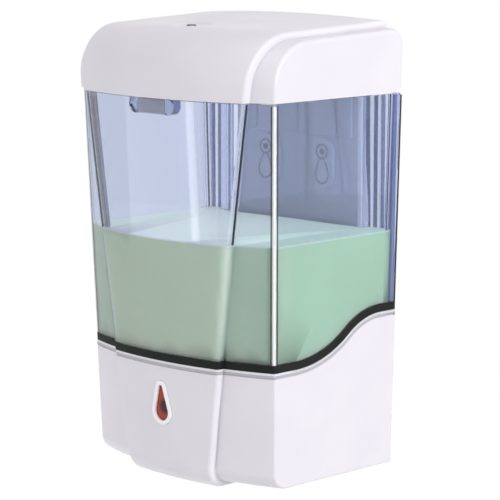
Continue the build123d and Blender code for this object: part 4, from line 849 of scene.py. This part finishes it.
@dataclass
class BowedFront:
    """Copies CAD nodes with even shading, where facets would bend what shows in or through them."""

    start: float = 77.8
    reach: float = 60.0
    flatness: float = 0.9999
    sheet_area: float = 500.0
    fit_area: float = 0.5
    fit_turn: Span = (0.8, 0.2)
    use_turn: float = 0.7
    use_angle: float = math.radians(5)

    def mesh(self, node: str, facings: tuple[int, ...]) -> Mesh:
        """Copy a node with its bowed front shaded as the smooth sheet that it is.

        Args:
            node: The node to copy.
            facings: Which sides of the front are fitted: -1 the outside, 1 the inside.

        Returns:
            The merged mesh, with normals fitted over the front and even over its flat sheets.
        """
        holder = helper(node_copy(node))
        holder.data.shade_smooth()
        holder.data.set_sharp_from_angle(angle=NODE_CREASE)
        weigh_normals(holder)
        mesh = evaluated(holder)
        normals = [corner.vector.copy() for corner in mesh.corner_normals]
        for index in self.flat_faces(mesh):
            for loop in mesh.polygons[index].loop_indices:
                normals[loop] = mesh.polygons[index].normal.copy()
        front = [face for face in mesh.polygons if face.center.y <= -self.start * MM]
        for facing in facings:
            faces = [face for face in front if facing * face.normal.y > self.fit_turn[0]
                     and abs(face.normal.z) < self.fit_turn[1] and face.area > self.fit_area * MM ** 2]
            rows = numpy.array([self.terms(face.center) for face in faces])
            weights = numpy.sqrt(numpy.array([face.area for face in faces]))[:, None]
            wanted = numpy.array([face.normal for face in faces])
            fit = numpy.linalg.lstsq(rows * weights, wanted * weights, rcond=None)[0]
            for face in front:
                if facing * face.normal.y < self.use_turn:
                    continue
                for loop in face.loop_indices:
                    place = mesh.vertices[mesh.loops[loop].vertex_index].co
                    normal = Vector(self.terms(place) @ fit).normalized()
                    if normal.angle(face.normal) < self.use_angle:
                        normals[loop] = normal
        mesh.normals_split_custom_set(normals)
        return mesh

    def terms(self, place: Vector) -> numpy.ndarray:
        """Give the terms, in place across and up the front, that its normals are fitted with."""
        x, z = place.x / (self.reach * MM), place.z / (self.reach * MM)
        return numpy.array([1, x, x * x, x ** 3, z, x * z])

    def flat_faces(self, mesh: Mesh) -> set[int]:
        """Find the faces of the large flat sheets.

        Args:
            mesh: The merged copy.

        Returns:
            Their numbers.
        """
        beside: dict[tuple[int, int], list[int]] = {}
        for face in mesh.polygons:
            for edge in face.edge_keys:
                beside.setdefault(edge, []).append(face.index)
        found: set[int] = set()
        seen: set[int] = set()
        for first in range(len(mesh.polygons)):
            if first in seen:
                continue
            sheet, waiting = [], [first]
            seen.add(first)
            while waiting:
                face = mesh.polygons[waiting.pop()]
                sheet.append(face.index)
                for other in (index for edge in face.edge_keys for index in beside[edge]):
                    if other not in seen and face.normal.dot(mesh.polygons[other].normal) > self.flatness:
                        seen.add(other)
                        waiting.append(other)
            if sum(mesh.polygons[index].area for index in sheet) > self.sheet_area * MM ** 2:
                found.update(sheet)
        return found

    def piece(self, name: str, node: str, facings: tuple[int, ...], finish: Finish, slot: str) -> None:
        """Put the even copy in the node's place, on the housing."""
        made = place_mesh(name, self.mesh(node, facings), finish, smooth=False)
        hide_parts(node)


FRONT = BowedFront()


@dataclass
class ScrewKind:
    """One kind of cross-head screw: its sizes, and how many there are and where."""

    node: str
    length: float
    counts: tuple[int, int]
    spacings: Span
    place: Matrix
    head_radius: ClassVar[float] = 2.9
    head_height: ClassVar[float] = 1.8
    crest: float = 1.49
    root: float = 1.12
    pitch: float = 1.0
    point: float = 0.35
    flank: float = 3.0
    turn_steps: int = 6
    crown_steps: int = 6
    cross: Point = (3.2, 0.8, 1.0)
    cross_bevel: float = 0.05
    sides: int = 20

    def shank(self) -> Shape:
        """Draw the threaded shank, from the head's underside down to its point.

        Returns:
            A closed shape.
        """
        shape = bmesh.new()
        steps = int(self.length / self.pitch * self.turn_steps)
        rings = []
        for row in range(steps + 1):
            height = -self.length * row / steps
            taper = min(1.0, (self.length + height) / self.pitch)
            ring = []
            for side in range(self.sides):
                turn = side / self.sides
                phase = (height / self.pitch - turn) % 1.0
                ridge = max(0.0, 1 - abs(phase - 0.5) * self.flank)
                radius = (self.root + (self.crest - self.root) * ridge) * (self.point + (1 - self.point) * taper)
                angle = 2 * math.pi * turn
                ring.append(shape.verts.new((radius * math.cos(angle) * MM, radius * math.sin(angle) * MM,
                                             height * MM)))
            rings.append(ring)
        for upper, lower in zip(rings, rings[1:]):
            for side in range(self.sides):
                other = (side + 1) % self.sides
                shape.faces.new((upper[side], lower[side], lower[other], upper[other]))
        shape.faces.new(rings[-1][::-1])
        shape.faces.new(rings[0])
        bmesh.ops.recalc_face_normals(shape, faces=shape.faces)
        return shape

    def head(self) -> Mesh:
        """Draw the pan head and cut its cross.

        Returns:
            The head's mesh.
        """
        rim = self.head_height / 2
        crown = [(0.0, 0.0), (self.head_radius, 0.0)]
        for step in range(self.crown_steps + 1):
            angle = QUARTER * step / self.crown_steps
            crown.append((self.head_radius - rim * (1 - math.cos(angle)), rim + rim * math.sin(angle)))
        crown.append((0.0, self.head_height))
        length, width, depth = self.cross
        bars = [bevelled_box((*size, 2 * depth), self.cross_bevel, self.head_height)
                for size in ((length, width), (width, length))]
        return boolean(lathe(crown), bars, "DIFFERENCE")

    def build(self) -> None:
        """Make every screw of this kind as one piece in place of the plain node."""
        shape = self.shank()
        shape.from_mesh(self.head())
        piece = GRID.piece(f"threaded_{self.node}", shape, self.counts, self.spacings, self.place, STEEL, "steel")
        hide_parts(self.node)


class SubAssembly:
    """Pieces that belong together, and the finishes of their CAD nodes."""

    finishes: ClassVar[dict[str, Finish]] = {}

    def build(self) -> None:
        """Make the pieces that are drawn here, where there are any."""

    def dress(self) -> None:
        """Finish the CAD nodes."""
        for node, finish in self.finishes.items():
            dress_node(node, finish)


@dataclass
class WallPlate(SubAssembly):
    """Back plate with its hinge pin and the screws that hold the base and the tank."""

    finishes: ClassVar[dict[str, Finish]] = {"back_plate": PLATE_WHITE, "hinge_pin": STEEL}
    base_spacing: Span = (92.0, 44.0)
    base_middle: float = 34.0
    tank_spacing: float = 64.0
    tank_height: float = 92.0
    screw_lengths: Span = (11.7, 7.0)
    pocket_spacing: float = 34.0
    pocket_face: float = -4.7
    entry: Point = (132.0, 4.0, 4.2)
    seat: Point = (143.0, 3.3, 0.0)
    rim_radius: float = 0.55
    rim_steps: int = 40
    pip: tuple[Span, ...] = ((0, 0), (1.5, 0), (1.5, 0.25), (1.2, 0.45), (0, 0.3))
    field_half: float = 34.0
    field_heights: Span = (151.0, 182.5)
    field_face: float = -3.6
    field_edge: float = 0.5

    def pocket_rims(self) -> list[Path]:
        """Draw the raised rims on the two keyhole pockets: a ring at the seat and a drop at the entry.

        Returns:
            Closed paths in millimetres.
        """
        paths = []
        for x in (-self.pocket_spacing / 2, self.pocket_spacing / 2):
            for height, radius, reach in (self.seat, self.entry):
                path = []
                for step in range(self.rim_steps):
                    angle = 2 * math.pi * step / self.rim_steps
                    rise = max(0.0, math.sin(angle)) ** 3 * reach
                    path.append((x + radius * math.cos(angle), self.pocket_face,
                                 height + radius * math.sin(angle) + rise))
                paths.append(path)
        return paths

    def build(self) -> None:
        """Make the keyhole rims in light grey as painted shade, the grey pips at the keyholes' seats, the field's
        border in a brighter white as a painted highlight, and screws flush with the wall face.
        """
        # Painted shade: the rims are light grey, for the shade round the keyholes
        CORD.piece("keyhole_rims", self.pocket_rims(), self.rim_radius, SHADE_GREY, "grey_plastic", True)
        low, high = self.field_heights
        corners = ((-1, high), (-1, low), (1, low), (1, high))
        outline = [(side * self.field_half, self.field_face, height) for side, height in corners]
        # Painted highlight: the field's raised border is in the brighter, glossier white
        CORD.piece("field_border", [outline], self.field_edge, RIM_WHITE, "white_plastic")
        GRID.piece("keyhole_pips", lathe(self.pip), (2, 1), (self.pocket_spacing, 0.0),
                   at(0, self.pocket_face, self.seat[0], QUARTER), GREY, "grey_plastic")
        base, tank = (at(0, -ScrewKind.head_height, height, -QUARTER)
                      for height in (self.base_middle, self.tank_height))
        ScrewKind("back_screws", self.screw_lengths[0], (2, 2), self.base_spacing, base).build()
        ScrewKind("tank_screws", self.screw_lengths[1], (2, 1), (self.tank_spacing, 0.0), tank).build()


@dataclass
class SoapTank(SubAssembly):
    """Clear tank with the soap, the seal under it, the strainer, and dark and white rods that paint the shade and
    highlights its thick walls show.
    """

    finishes: ClassVar[dict[str, Finish]] = {"tank_seal": RUBBER, "outlet_strainer": GREY}
    contact: float = 0.85
    level_band: float = 0.01
    split: float = 173.0
    foot: float = 54.2
    front_half: Span = (56.5, 61.7)
    front_depth: Span = (77.8, 83.2)
    front_bulge: Span = (10.0, 14.0)
    panel_half: Span = (26.2, 50.8)
    rear_half: Span = (57.4, 62.6)
    rear_depth: Span = (0.3, 0.3)
    bead_inset: Span = (1.35, 0.85)
    bead_radius: float = 0.8
    # Painted shade: dark lines in the front corners, and dark cords in the rear corners
    line_insets: tuple[Span, ...] = ((2.5, 0.4), (1.0, 2.15))
    line_radius: float = 0.28
    line_sides: int = 8
    cord_inset: Span = (0.65, -0.65)
    cord_radius: float = 0.58
    cord_gap: float = 1.0
    edge_inset: Span = (1.3, -0.3)
    edge_radius: float = 0.7
    edge_foot: float = 110.4
    edge_gap: float = 0.6
    edge_steps: int = 8
    insert: Point = (17.4, 1.2, 6.4)
    insert_depth: float = 96.4
    insert_gap: float = 0.4
    insert_bevel: float = 0.3
    band: Span = (2.3, 6.0)
    shade: Span = (0.1, 1.3)
    band_half: float = 75.0
    band_proud: float = 0.08
    flute_start: float = 47.0
    flute_spacing: float = 4.4
    flute_depth: float = 1.25
    flute_radius: float = 1.1
    flute_heights: Span = (74.0, 172.0)
    flutes: int = 3
    rim_height: float = 51.3
    rim_rise: float = 19.1
    sweep_ends: Span = (-110.0, 5.0)
    sweep_start: float = 66.0
    sweep_turn: float = math.radians(38)
    sweep_radius: float = 58.0
    sweep_steps: int = 12

    def taper(self, ends: Span, height: float) -> float:
        """Give a size at a height, from its values at the foot and at the split."""
        return ends[0] + (ends[1] - ends[0]) * height / self.split

    def mirrored(self, path: Path) -> list[Path]:
        """Give a path's mirror image across the middle, and the path itself."""
        return [[(side * x, y, z) for x, y, z in path] for side in (-1, 1)]

    def corner(self, half: Span, depth: Span, inset: Span) -> list[Path]:
        """Draw the lines of two mirrored corners, drawn in from the tank's tapering outline.

        Args:
            half: Half widths at the foot and at the split.
            depth: Depths at the foot and at the split.
            inset: How far in from the outline, sideways and towards the wall.

        Returns:
            One path for each side, in millimetres.
        """
        return self.mirrored([(self.taper(half, height) - inset[0], inset[1] - self.taper(depth, height), height)
                              for height in (self.foot, self.split - self.cord_gap)])

    def panel_edges(self) -> list[Path]:
        """Draw the painted shade lines inside the steps at both sides of the raised panel.

        Returns:
            One path for each side, in millimetres.
        """
        path = []
        for step in range(self.edge_steps + 1):
            height = self.edge_foot + (self.split - self.edge_gap - self.edge_foot) * step / self.edge_steps
            half, depth, bulge, panel = (self.taper(ends, height) for ends in (
                self.front_half, self.front_depth, self.front_bulge, self.panel_half))
            radius = (half ** 2 + bulge ** 2) / (2 * bulge)
            x = panel - self.edge_inset[0]
            y = depth + bulge - radius + math.sqrt(radius ** 2 - x ** 2) - self.edge_inset[1]
            path.append((x, -y, height))
        return self.mirrored(path)

    def sweep(self, lift: float) -> list[Span]:
        """Draw the swept joint's side line, raised square to itself.

        Args:
            lift: How far it is raised, in millimetres.

        Returns:
            Depths and heights along the line, front first.
        """
        turn, steps = self.sweep_turn, self.sweep_steps
        rear_radius = self.rim_rise / (1 - math.cos(turn)) - self.sweep_radius
        line = [(self.sweep_ends[0], self.rim_height + lift)]
        middle = self.rim_height + self.sweep_radius
        for step in range(steps + 1):
            angle = turn * step / steps
            near = self.sweep_radius - lift
            line.append((-self.sweep_start + near * math.sin(angle), middle - near * math.cos(angle)))
        centre = (-self.sweep_start + (self.sweep_radius + rear_radius) * math.sin(turn),
                  middle - (self.sweep_radius + rear_radius) * math.cos(turn))
        for step in range(1, steps + 1):
            angle = turn * (1 - step / steps)
            far = rear_radius + lift
            line.append((centre[0] - far * math.sin(angle), centre[1] + far * math.cos(angle)))
        line.append((self.sweep_ends[1], line[-1][1]))
        return line

    def joint_band(self, node: str, lifts: Span) -> Mesh:
        """Cut a band along the swept joint from a node's own form and let it out by a hair.

        Args:
            node: The node that the band lies on.
            lifts: Where it starts and ends, square to the joint line, in millimetres.

        Returns:
            The band's mesh.
        """
        slab = bmesh.new()
        lower, upper = (self.sweep(lift) for lift in lifts)
        rings = [[slab.verts.new(Vector((x, y, z + FOOT)) * MM) for y, z in lower + upper[::-1]]
                 for x in (-self.band_half, self.band_half)]
        count = len(rings[0])
        for step in range(count):
            after = (step + 1) % count
            slab.faces.new((rings[0][step], rings[0][after], rings[1][after], rings[1][step]))
        for step in range(len(lower) - 1):
            other = count - 1 - step
            for ring in rings:
                slab.faces.new((ring[step], ring[step + 1], ring[other - 1], ring[other]))
        bmesh.ops.recalc_face_normals(slab, faces=slab.faces)
        grown = bmesh.new()
        grown.from_mesh(boolean(node_copy(node), [slab], "INTERSECT"))
        bmesh.ops.remove_doubles(grown, verts=grown.verts, dist=MERGE)
        grown.normal_update()
        for vert, normal in [(vert, vert.normal.copy()) for vert in grown.verts]:
            vert.co += normal * self.band_proud * MM
            vert.co.y = min(vert.co.y, -self.rear_depth[0] * MM)
        return drawn_mesh(grown)

    def wet_soap(self) -> Shape:
        """Grow the soap into the tank's walls, with its level kept, so that it wets them.

        Returns:
            The soap's shape.
        """
        shape = node_copy("soap_fill")
        bmesh.ops.recalc_face_normals(shape, faces=shape.faces)
        shape.normal_update()
        top = max(vert.co.z for vert in shape.verts)
        grown = [vert.co + vert.normal * vert.calc_shell_factor() * self.contact * MM for vert in shape.verts]
        for vert, place in zip(shape.verts, grown):
            level = top if top - vert.co.z < self.level_band * MM else place.z
            vert.co = (place.x, place.y, level)
        return shape

    def build(self) -> None:
        """Make the painted shade lines and highlights in the walls, the bands at the joint, the striker's insert,
        the tank and the soap.
        """
        front = (self.front_half, self.front_depth)
        # Painted shade: black cords in the front corners for the dark lines that the thick walls show there
        dark = [path for inset in self.line_insets for path in self.corner(*front, inset)]
        rods = [[(side * (self.flute_start + self.flute_spacing * step), -self.flute_depth, height)
                 for height in self.flute_heights] for side in (-1, 1) for step in range(self.flutes)]
        # Painted highlight: frosted white rods in the front corners stand in for the bright light along those
        # edges
        CORD.piece("tank_corner_beads", self.corner(*front, self.bead_inset), self.bead_radius, CORNER_HIGHLIGHT,
                   "clear_plastic")
        # Painted shade: black lines in the front corners and black cords in the rear corners, where the thick
        # walls show dark
        CORD.piece("tank_corner_lines", dark, self.line_radius, RUBBER, "seal_rubber", sides=self.line_sides)
        CORD.piece("tank_rear_cords", self.corner(self.rear_half, self.rear_depth, self.cord_inset),
                   self.cord_radius, RUBBER, "seal_rubber")
        # Painted shade: deep black lines inside the raised panel's steps
        CORD.piece("tank_panel_edges", self.panel_edges(), self.edge_radius, DEEP_BLACK, "seal_rubber")
        # A deep black band laid over the clear skirt along the joint, where the tank shows a dark band
        place_mesh("tank_foot_band", self.joint_band("tank", self.band), DEEP_BLACK)
        # Painted shade: a light grey band on the base under the bead, where the bead's underside is in shade
        place_mesh("bead_under_band", self.joint_band("base_housing", self.shade), SHADE_GREY)
        # Painted shade: lavender rods behind the rear flutes, for the tinted shade the flutes show
        CORD.piece("flute_liners", rods, self.flute_radius, FLUTE_SHADE, "clear_plastic")
        insert = bevelled_box(self.insert, self.insert_bevel)
        insert.transform(at(0, -self.insert_depth, self.split - self.insert_gap - self.insert[2] / 2))
        place_mesh("striker_insert", drawn_mesh(insert), GREY)
        FRONT.piece("tank_clear", "tank", (-1, 1), CLEAR, "clear_plastic")
        soap = place_mesh("soap_in_tank", drawn_mesh(self.wet_soap()), SOAP)
        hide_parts("soap_fill")


@dataclass
class LidAndLock(SubAssembly):
    """Hinged lid with its key barrel, clip and cam."""

    finishes: ClassVar[dict[str, Finish]] = {"lid": WHITE, "lock_barrel": WHITE, "lock_clip": STEEL,
                                             "lock_cam": STEEL}
    core_radius: float = 2.2
    core_height: float = 1.6
    core_foot: float = -0.05
    core_rim: float = 0.35
    core_sides: int = 36
    slot: Point = (3.2, 0.7, 1.6)
    slot_bevel: float = 0.1

    def build(self) -> None:
        """Make the key core that stands on the barrel's head, with its slot."""
        low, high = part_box("lock_barrel")
        core = lathe(stub(self.core_radius, self.core_foot, self.core_height, self.core_rim), self.core_sides)
        mesh = boolean(core, [bevelled_box(self.slot, self.slot_bevel, self.core_height)], "DIFFERENCE")
        mesh.transform(Matrix.Translation(((low.x + high.x) / 2, (low.y + high.y) / 2, high.z)))
        place_mesh("lock_core", mesh, CORE_METAL, Body.LOCK)


@dataclass
class BaseShell(SubAssembly):
    """Base with its window, lens, nozzle, battery door and switch."""

    finishes: ClassVar[dict[str, Finish]] = {
        "window_bezel": RIM_WHITE, "sensor_window": WINDOW, "ir_lens": LENS, "nozzle": WHITE,
        "nozzle_valve": SILICONE, "battery_door": WHITE, "switch_body": BLACK, "switch_slider": BLACK}
    ridge: Point = (9.0, 0.7, 0.45)
    ridge_bevel: float = 0.2
    ridges: int = 4
    ridge_spacing: float = 1.5
    scoop_depth: float = -36.6
    scoop_top: float = 1.15

    def build(self) -> None:
        """Make the shell with an even front and the finger ridges in the battery door's scoop."""
        FRONT.piece("base_shell", "base_housing", (-1,), WHITE, "white_plastic")
        GRID.piece("door_grip_ridges", bevelled_box(self.ridge, self.ridge_bevel), (1, self.ridges),
                   (0.0, self.ridge_spacing), at(0, self.scoop_depth, self.scoop_top), WHITE,
                   "white_plastic", Body.DOOR)


@dataclass(frozen=True)
class BoardPart:
    """One kind of small part on the board: its form, how many, and where across, up and off the face."""

    name: str
    finish: Finish
    slot: str
    shape: Point
    bevel: float
    place: Point
    counts: tuple[int, int] = (1, 1)
    spacings: Span = (0.0, 0.0)
    turned: bool = False

    def form(self) -> Shape:
        """Draw a box of three sides, or a can of a radius and a height, with its edges rounded."""
        radius, height, _ = self.shape
        return lathe(stub(radius, 0, height, self.bevel)) if self.turned else bevelled_box(self.shape, self.bevel)


@dataclass
class SensorBoard(SubAssembly):
    """Control board with its light, hand sensor and small parts."""

    finishes: ClassVar[dict[str, Finish]] = {"control_board": BOARD, "indicator_led": LED, "ir_diodes": BLACK}
    front: float = -79.6
    parts: tuple[BoardPart, ...] = (
        BoardPart("board_chip", BLACK, "black_plastic", (7.0, 7.0, 1.2), 0.15, (-12.0, 24.0, 0.7)),
        BoardPart("board_chip_leads", SOLDER, "steel", (0.35, 1.2, 0.2), 0.04, (-12.0, 24.0, 0.15), (8, 2),
                  (0.8, 8.0)),
        BoardPart("board_resistors", BLACK, "black_plastic", (2.0, 1.2, 0.55), 0.1, (12.0, 22.0, 0.325), (3, 4),
                  (3.4, 2.6)),
        BoardPart("board_capacitors", STEEL, "steel", (2.5, 5.4, 0.0), 0.3, (13.0, 36.0, 0.05), (2, 1),
                  (6.4, 0.0), True),
        BoardPart("board_header", CREAM, "gear_plastic", (10.4, 2.6, 2.5), 0.2, (-11.0, 38.0, 1.3)),
        BoardPart("board_header_pins", NICKEL, "contact_metal", (0.6, 0.6, 6.0), 0.1, (-11.0, 38.0, 3.1), (4, 1),
                  (2.54, 0.0)))

    def build(self) -> None:
        """Make the chip, its leads, the resistors, the capacitor cans and the header."""
        for part in self.parts:
            x, z, lift = part.place
            GRID.piece(part.name, part.form(), part.counts, part.spacings, at(x, self.front - lift, z, QUARTER),
                       part.finish, part.slot)


@dataclass
class PumpUnit(SubAssembly):
    """Gear pump with its motor, tubes and screws."""

    finishes: ClassVar[dict[str, Finish]] = {
        "pump_body": GREY, "pump_cover": GREY, "drive_gear": CREAM, "idler_gear": CREAM, "idler_pin": STEEL,
        "motor_shaft": STEEL, "motor_can": STEEL, "pump_gasket": RUBBER, "motor_end_cap": BLACK,
        "inlet_tube": SILICONE, "outlet_tube": SILICONE}
    lug_height: float = 19.15
    outlet_depth: float = 58.0
    post_spacing: float = 30.0
    screw_lengths: Span = (10.9, 9.0)

    def build(self) -> None:
        """Make the screws of the pump's lugs and of its cover."""
        ScrewKind("pump_screws", self.screw_lengths[0], (2, 1), (self.post_spacing, 0.0),
                  at(0, -self.outlet_depth, self.lug_height)).build()
        low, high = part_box("cover_screws")
        spacings = tuple(span / MM - 2 * ScrewKind.head_radius for span in (high.z - low.z, high.y - low.y))
        middle = Vector((low.x + ScrewKind.head_height * MM, (low.y + high.y) / 2, (low.z + high.z) / 2))
        place = Matrix.Translation(middle) @ Matrix.Rotation(-QUARTER, 4, "Y")
        ScrewKind("cover_screws", self.screw_lengths[1], (2, 2), spacings, place).build()


@dataclass
class BatteryPack(SubAssembly):
    """Box of four cells, whose tips alternate, with their contacts."""

    finishes: ClassVar[dict[str, Finish]] = {
        "battery_box": BLACK, "battery_contacts": NICKEL, "battery_1": TIP_RIGHT, "battery_2": TIP_LEFT,
        "battery_3": TIP_LEFT, "battery_4": TIP_RIGHT}


@dataclass
class Studio:
    """Camera at the photograph's angle, soft lamps, a white sky and a pale floor."""

    eye: Point = (754.7, -811.4, 267.2)
    aim: Point = (9.4, -45.0, 99.8)
    lens: float = 169.1
    sensor: float = 36.0
    sight: float = 200.0
    lamp_aim: Point = (0.0, -0.05, -0.03)
    floor_height: float = -0.9
    floor_reach: float = 40.0
    floor_shade: float = 0.8
    floor_glow: float = 0.6
    sky: float = 0.5

    def link(self, name: str, data: bpy.types.ID, place: Vector, aim: Vector) -> Thing:
        """Link a camera or a lamp.

        Args:
            name: Its name.
            data: Its settings.
            place: Where it is, in metres.
            aim: What it is turned towards.

        Returns:
            The new object.
        """
        thing = bpy.data.objects.new(name, data)
        thing.location = place
        thing.rotation_euler = (aim - place).to_track_quat("-Z", "Y").to_euler()
        bpy.context.scene.collection.objects.link(thing)
        return thing

    def camera(self) -> None:
        """Place the camera."""
        eye, aim = ((Vector(place) + Vector((0, 0, FOOT))) * MM for place in (self.eye, self.aim))
        data = bpy.data.cameras.new("camera")
        data.lens, data.sensor_width, data.clip_end = self.lens, self.sensor, self.sight
        bpy.context.scene.camera = self.link("camera", data, eye, aim)

    def lamp(self, name: str, place: Point, size: Span, power: float, mirrored: bool = True) -> None:
        """Hang one soft lamp, turned towards the dispenser.

        Args:
            name: The lamp's name.
            place: Where it hangs, in metres.
            size: Width and height of its face, in metres.
            power: Its power in watts.
            mirrored: Whether gloss shows it.
        """
        data = bpy.data.lights.new(name, "AREA")
        data.shape = "RECTANGLE"
        data.size, data.size_y = size
        data.energy = power
        self.link(name, data, Vector(place), Vector(self.lamp_aim)).visible_glossy = mirrored

    def seen(self, tree: Tree) -> Socket:
        """Give one for rays from the eye, off gloss or through clear pieces, and nought for light.

        Args:
            tree: The tree of the sky or the floor.

        Returns:
            The value.
        """
        path = add_node(tree, "ShaderNodeLightPath").outputs
        seen = path["Is Camera Ray"]
        for kind in ("Is Glossy Ray", "Is Transmission Ray"):
            seen = add_node(tree, "ShaderNodeMath", {"operation": "MAXIMUM"},
                            links={0: seen, 1: path[kind]}).outputs[0]
        return seen

    def surroundings(self) -> None:
        """Make the white sky and the pale floor."""
        world = bpy.data.worlds.new("white_sky")
        paint = bpy.data.materials.new("floor_matt_white")
        for thing in (world, paint):
            thing.use_nodes = True
            thing.node_tree.nodes.clear()
        tree = world.node_tree
        power = add_node(tree, "ShaderNodeMapRange", values={"To Min": self.sky, "To Max": 1.0},
                         links={0: self.seen(tree)})
        back = add_node(tree, "ShaderNodeBackground", values={"Color": (1, 1, 1, 1)},
                        links={"Strength": power.outputs[0]})
        add_node(tree, "ShaderNodeOutputWorld", links={0: back.outputs[0]})
        bpy.context.scene.world = world
        tree = paint.node_tree
        matt = add_node(tree, "ShaderNodeBsdfDiffuse", values={"Color": (*[self.floor_shade] * 3, 1)})
        lift = add_node(tree, "ShaderNodeMath", {"operation": "MULTIPLY"}, {1: self.floor_glow},
                        {0: self.seen(tree)})
        glow = add_node(tree, "ShaderNodeEmission", links={"Strength": lift.outputs[0]})
        both = add_node(tree, "ShaderNodeAddShader", links={0: matt.outputs[0], 1: glow.outputs[0]})
        add_node(tree, "ShaderNodeOutputMaterial", links={0: both.outputs[0]})
        shape = bmesh.new()
        bmesh.ops.create_grid(shape, x_segments=1, y_segments=1, size=self.floor_reach)
        mesh = drawn_mesh(shape)
        mesh.transform(Matrix.Translation((0, 0, self.floor_height)))
        mesh.materials.append(paint)
        floor = bpy.data.objects.new("floor", mesh)
        bpy.context.scene.collection.objects.link(floor)

    def build(self) -> None:
        """Set the camera, the lamps and the surroundings."""
        bpy.context.scene.view_settings.view_transform = "Standard"
        self.camera()
        self.lamp("key_right", (1.5, -0.15, 0.5), (0.9, 0.9), 18.5)
        self.lamp("fill_left", (-0.9, -1.2, -0.2), (1.2, 1.2), 7.2, False)
        self.lamp("strip_left", (-0.586, -1.215, -0.221), (0.075, 0.2), 0.11)
        self.lamp("top", (0.1, -0.35, 1.4), (1.0, 1.0), 2.5)
        self.surroundings()


def main() -> None:
    """Build and dress every sub-assembly, and set the scene."""
    logging.basicConfig(level=logging.INFO, format="%(name)s: %(message)s")
    Studio().build()
    assemblies = (WallPlate(), SoapTank(), LidAndLock(), BaseShell(), SensorBoard(), PumpUnit(), BatteryPack())
    for assembly in assemblies:
        assembly.build()
    for assembly in assemblies:
        assembly.dress()


if __name__ == "__main__":
    main()
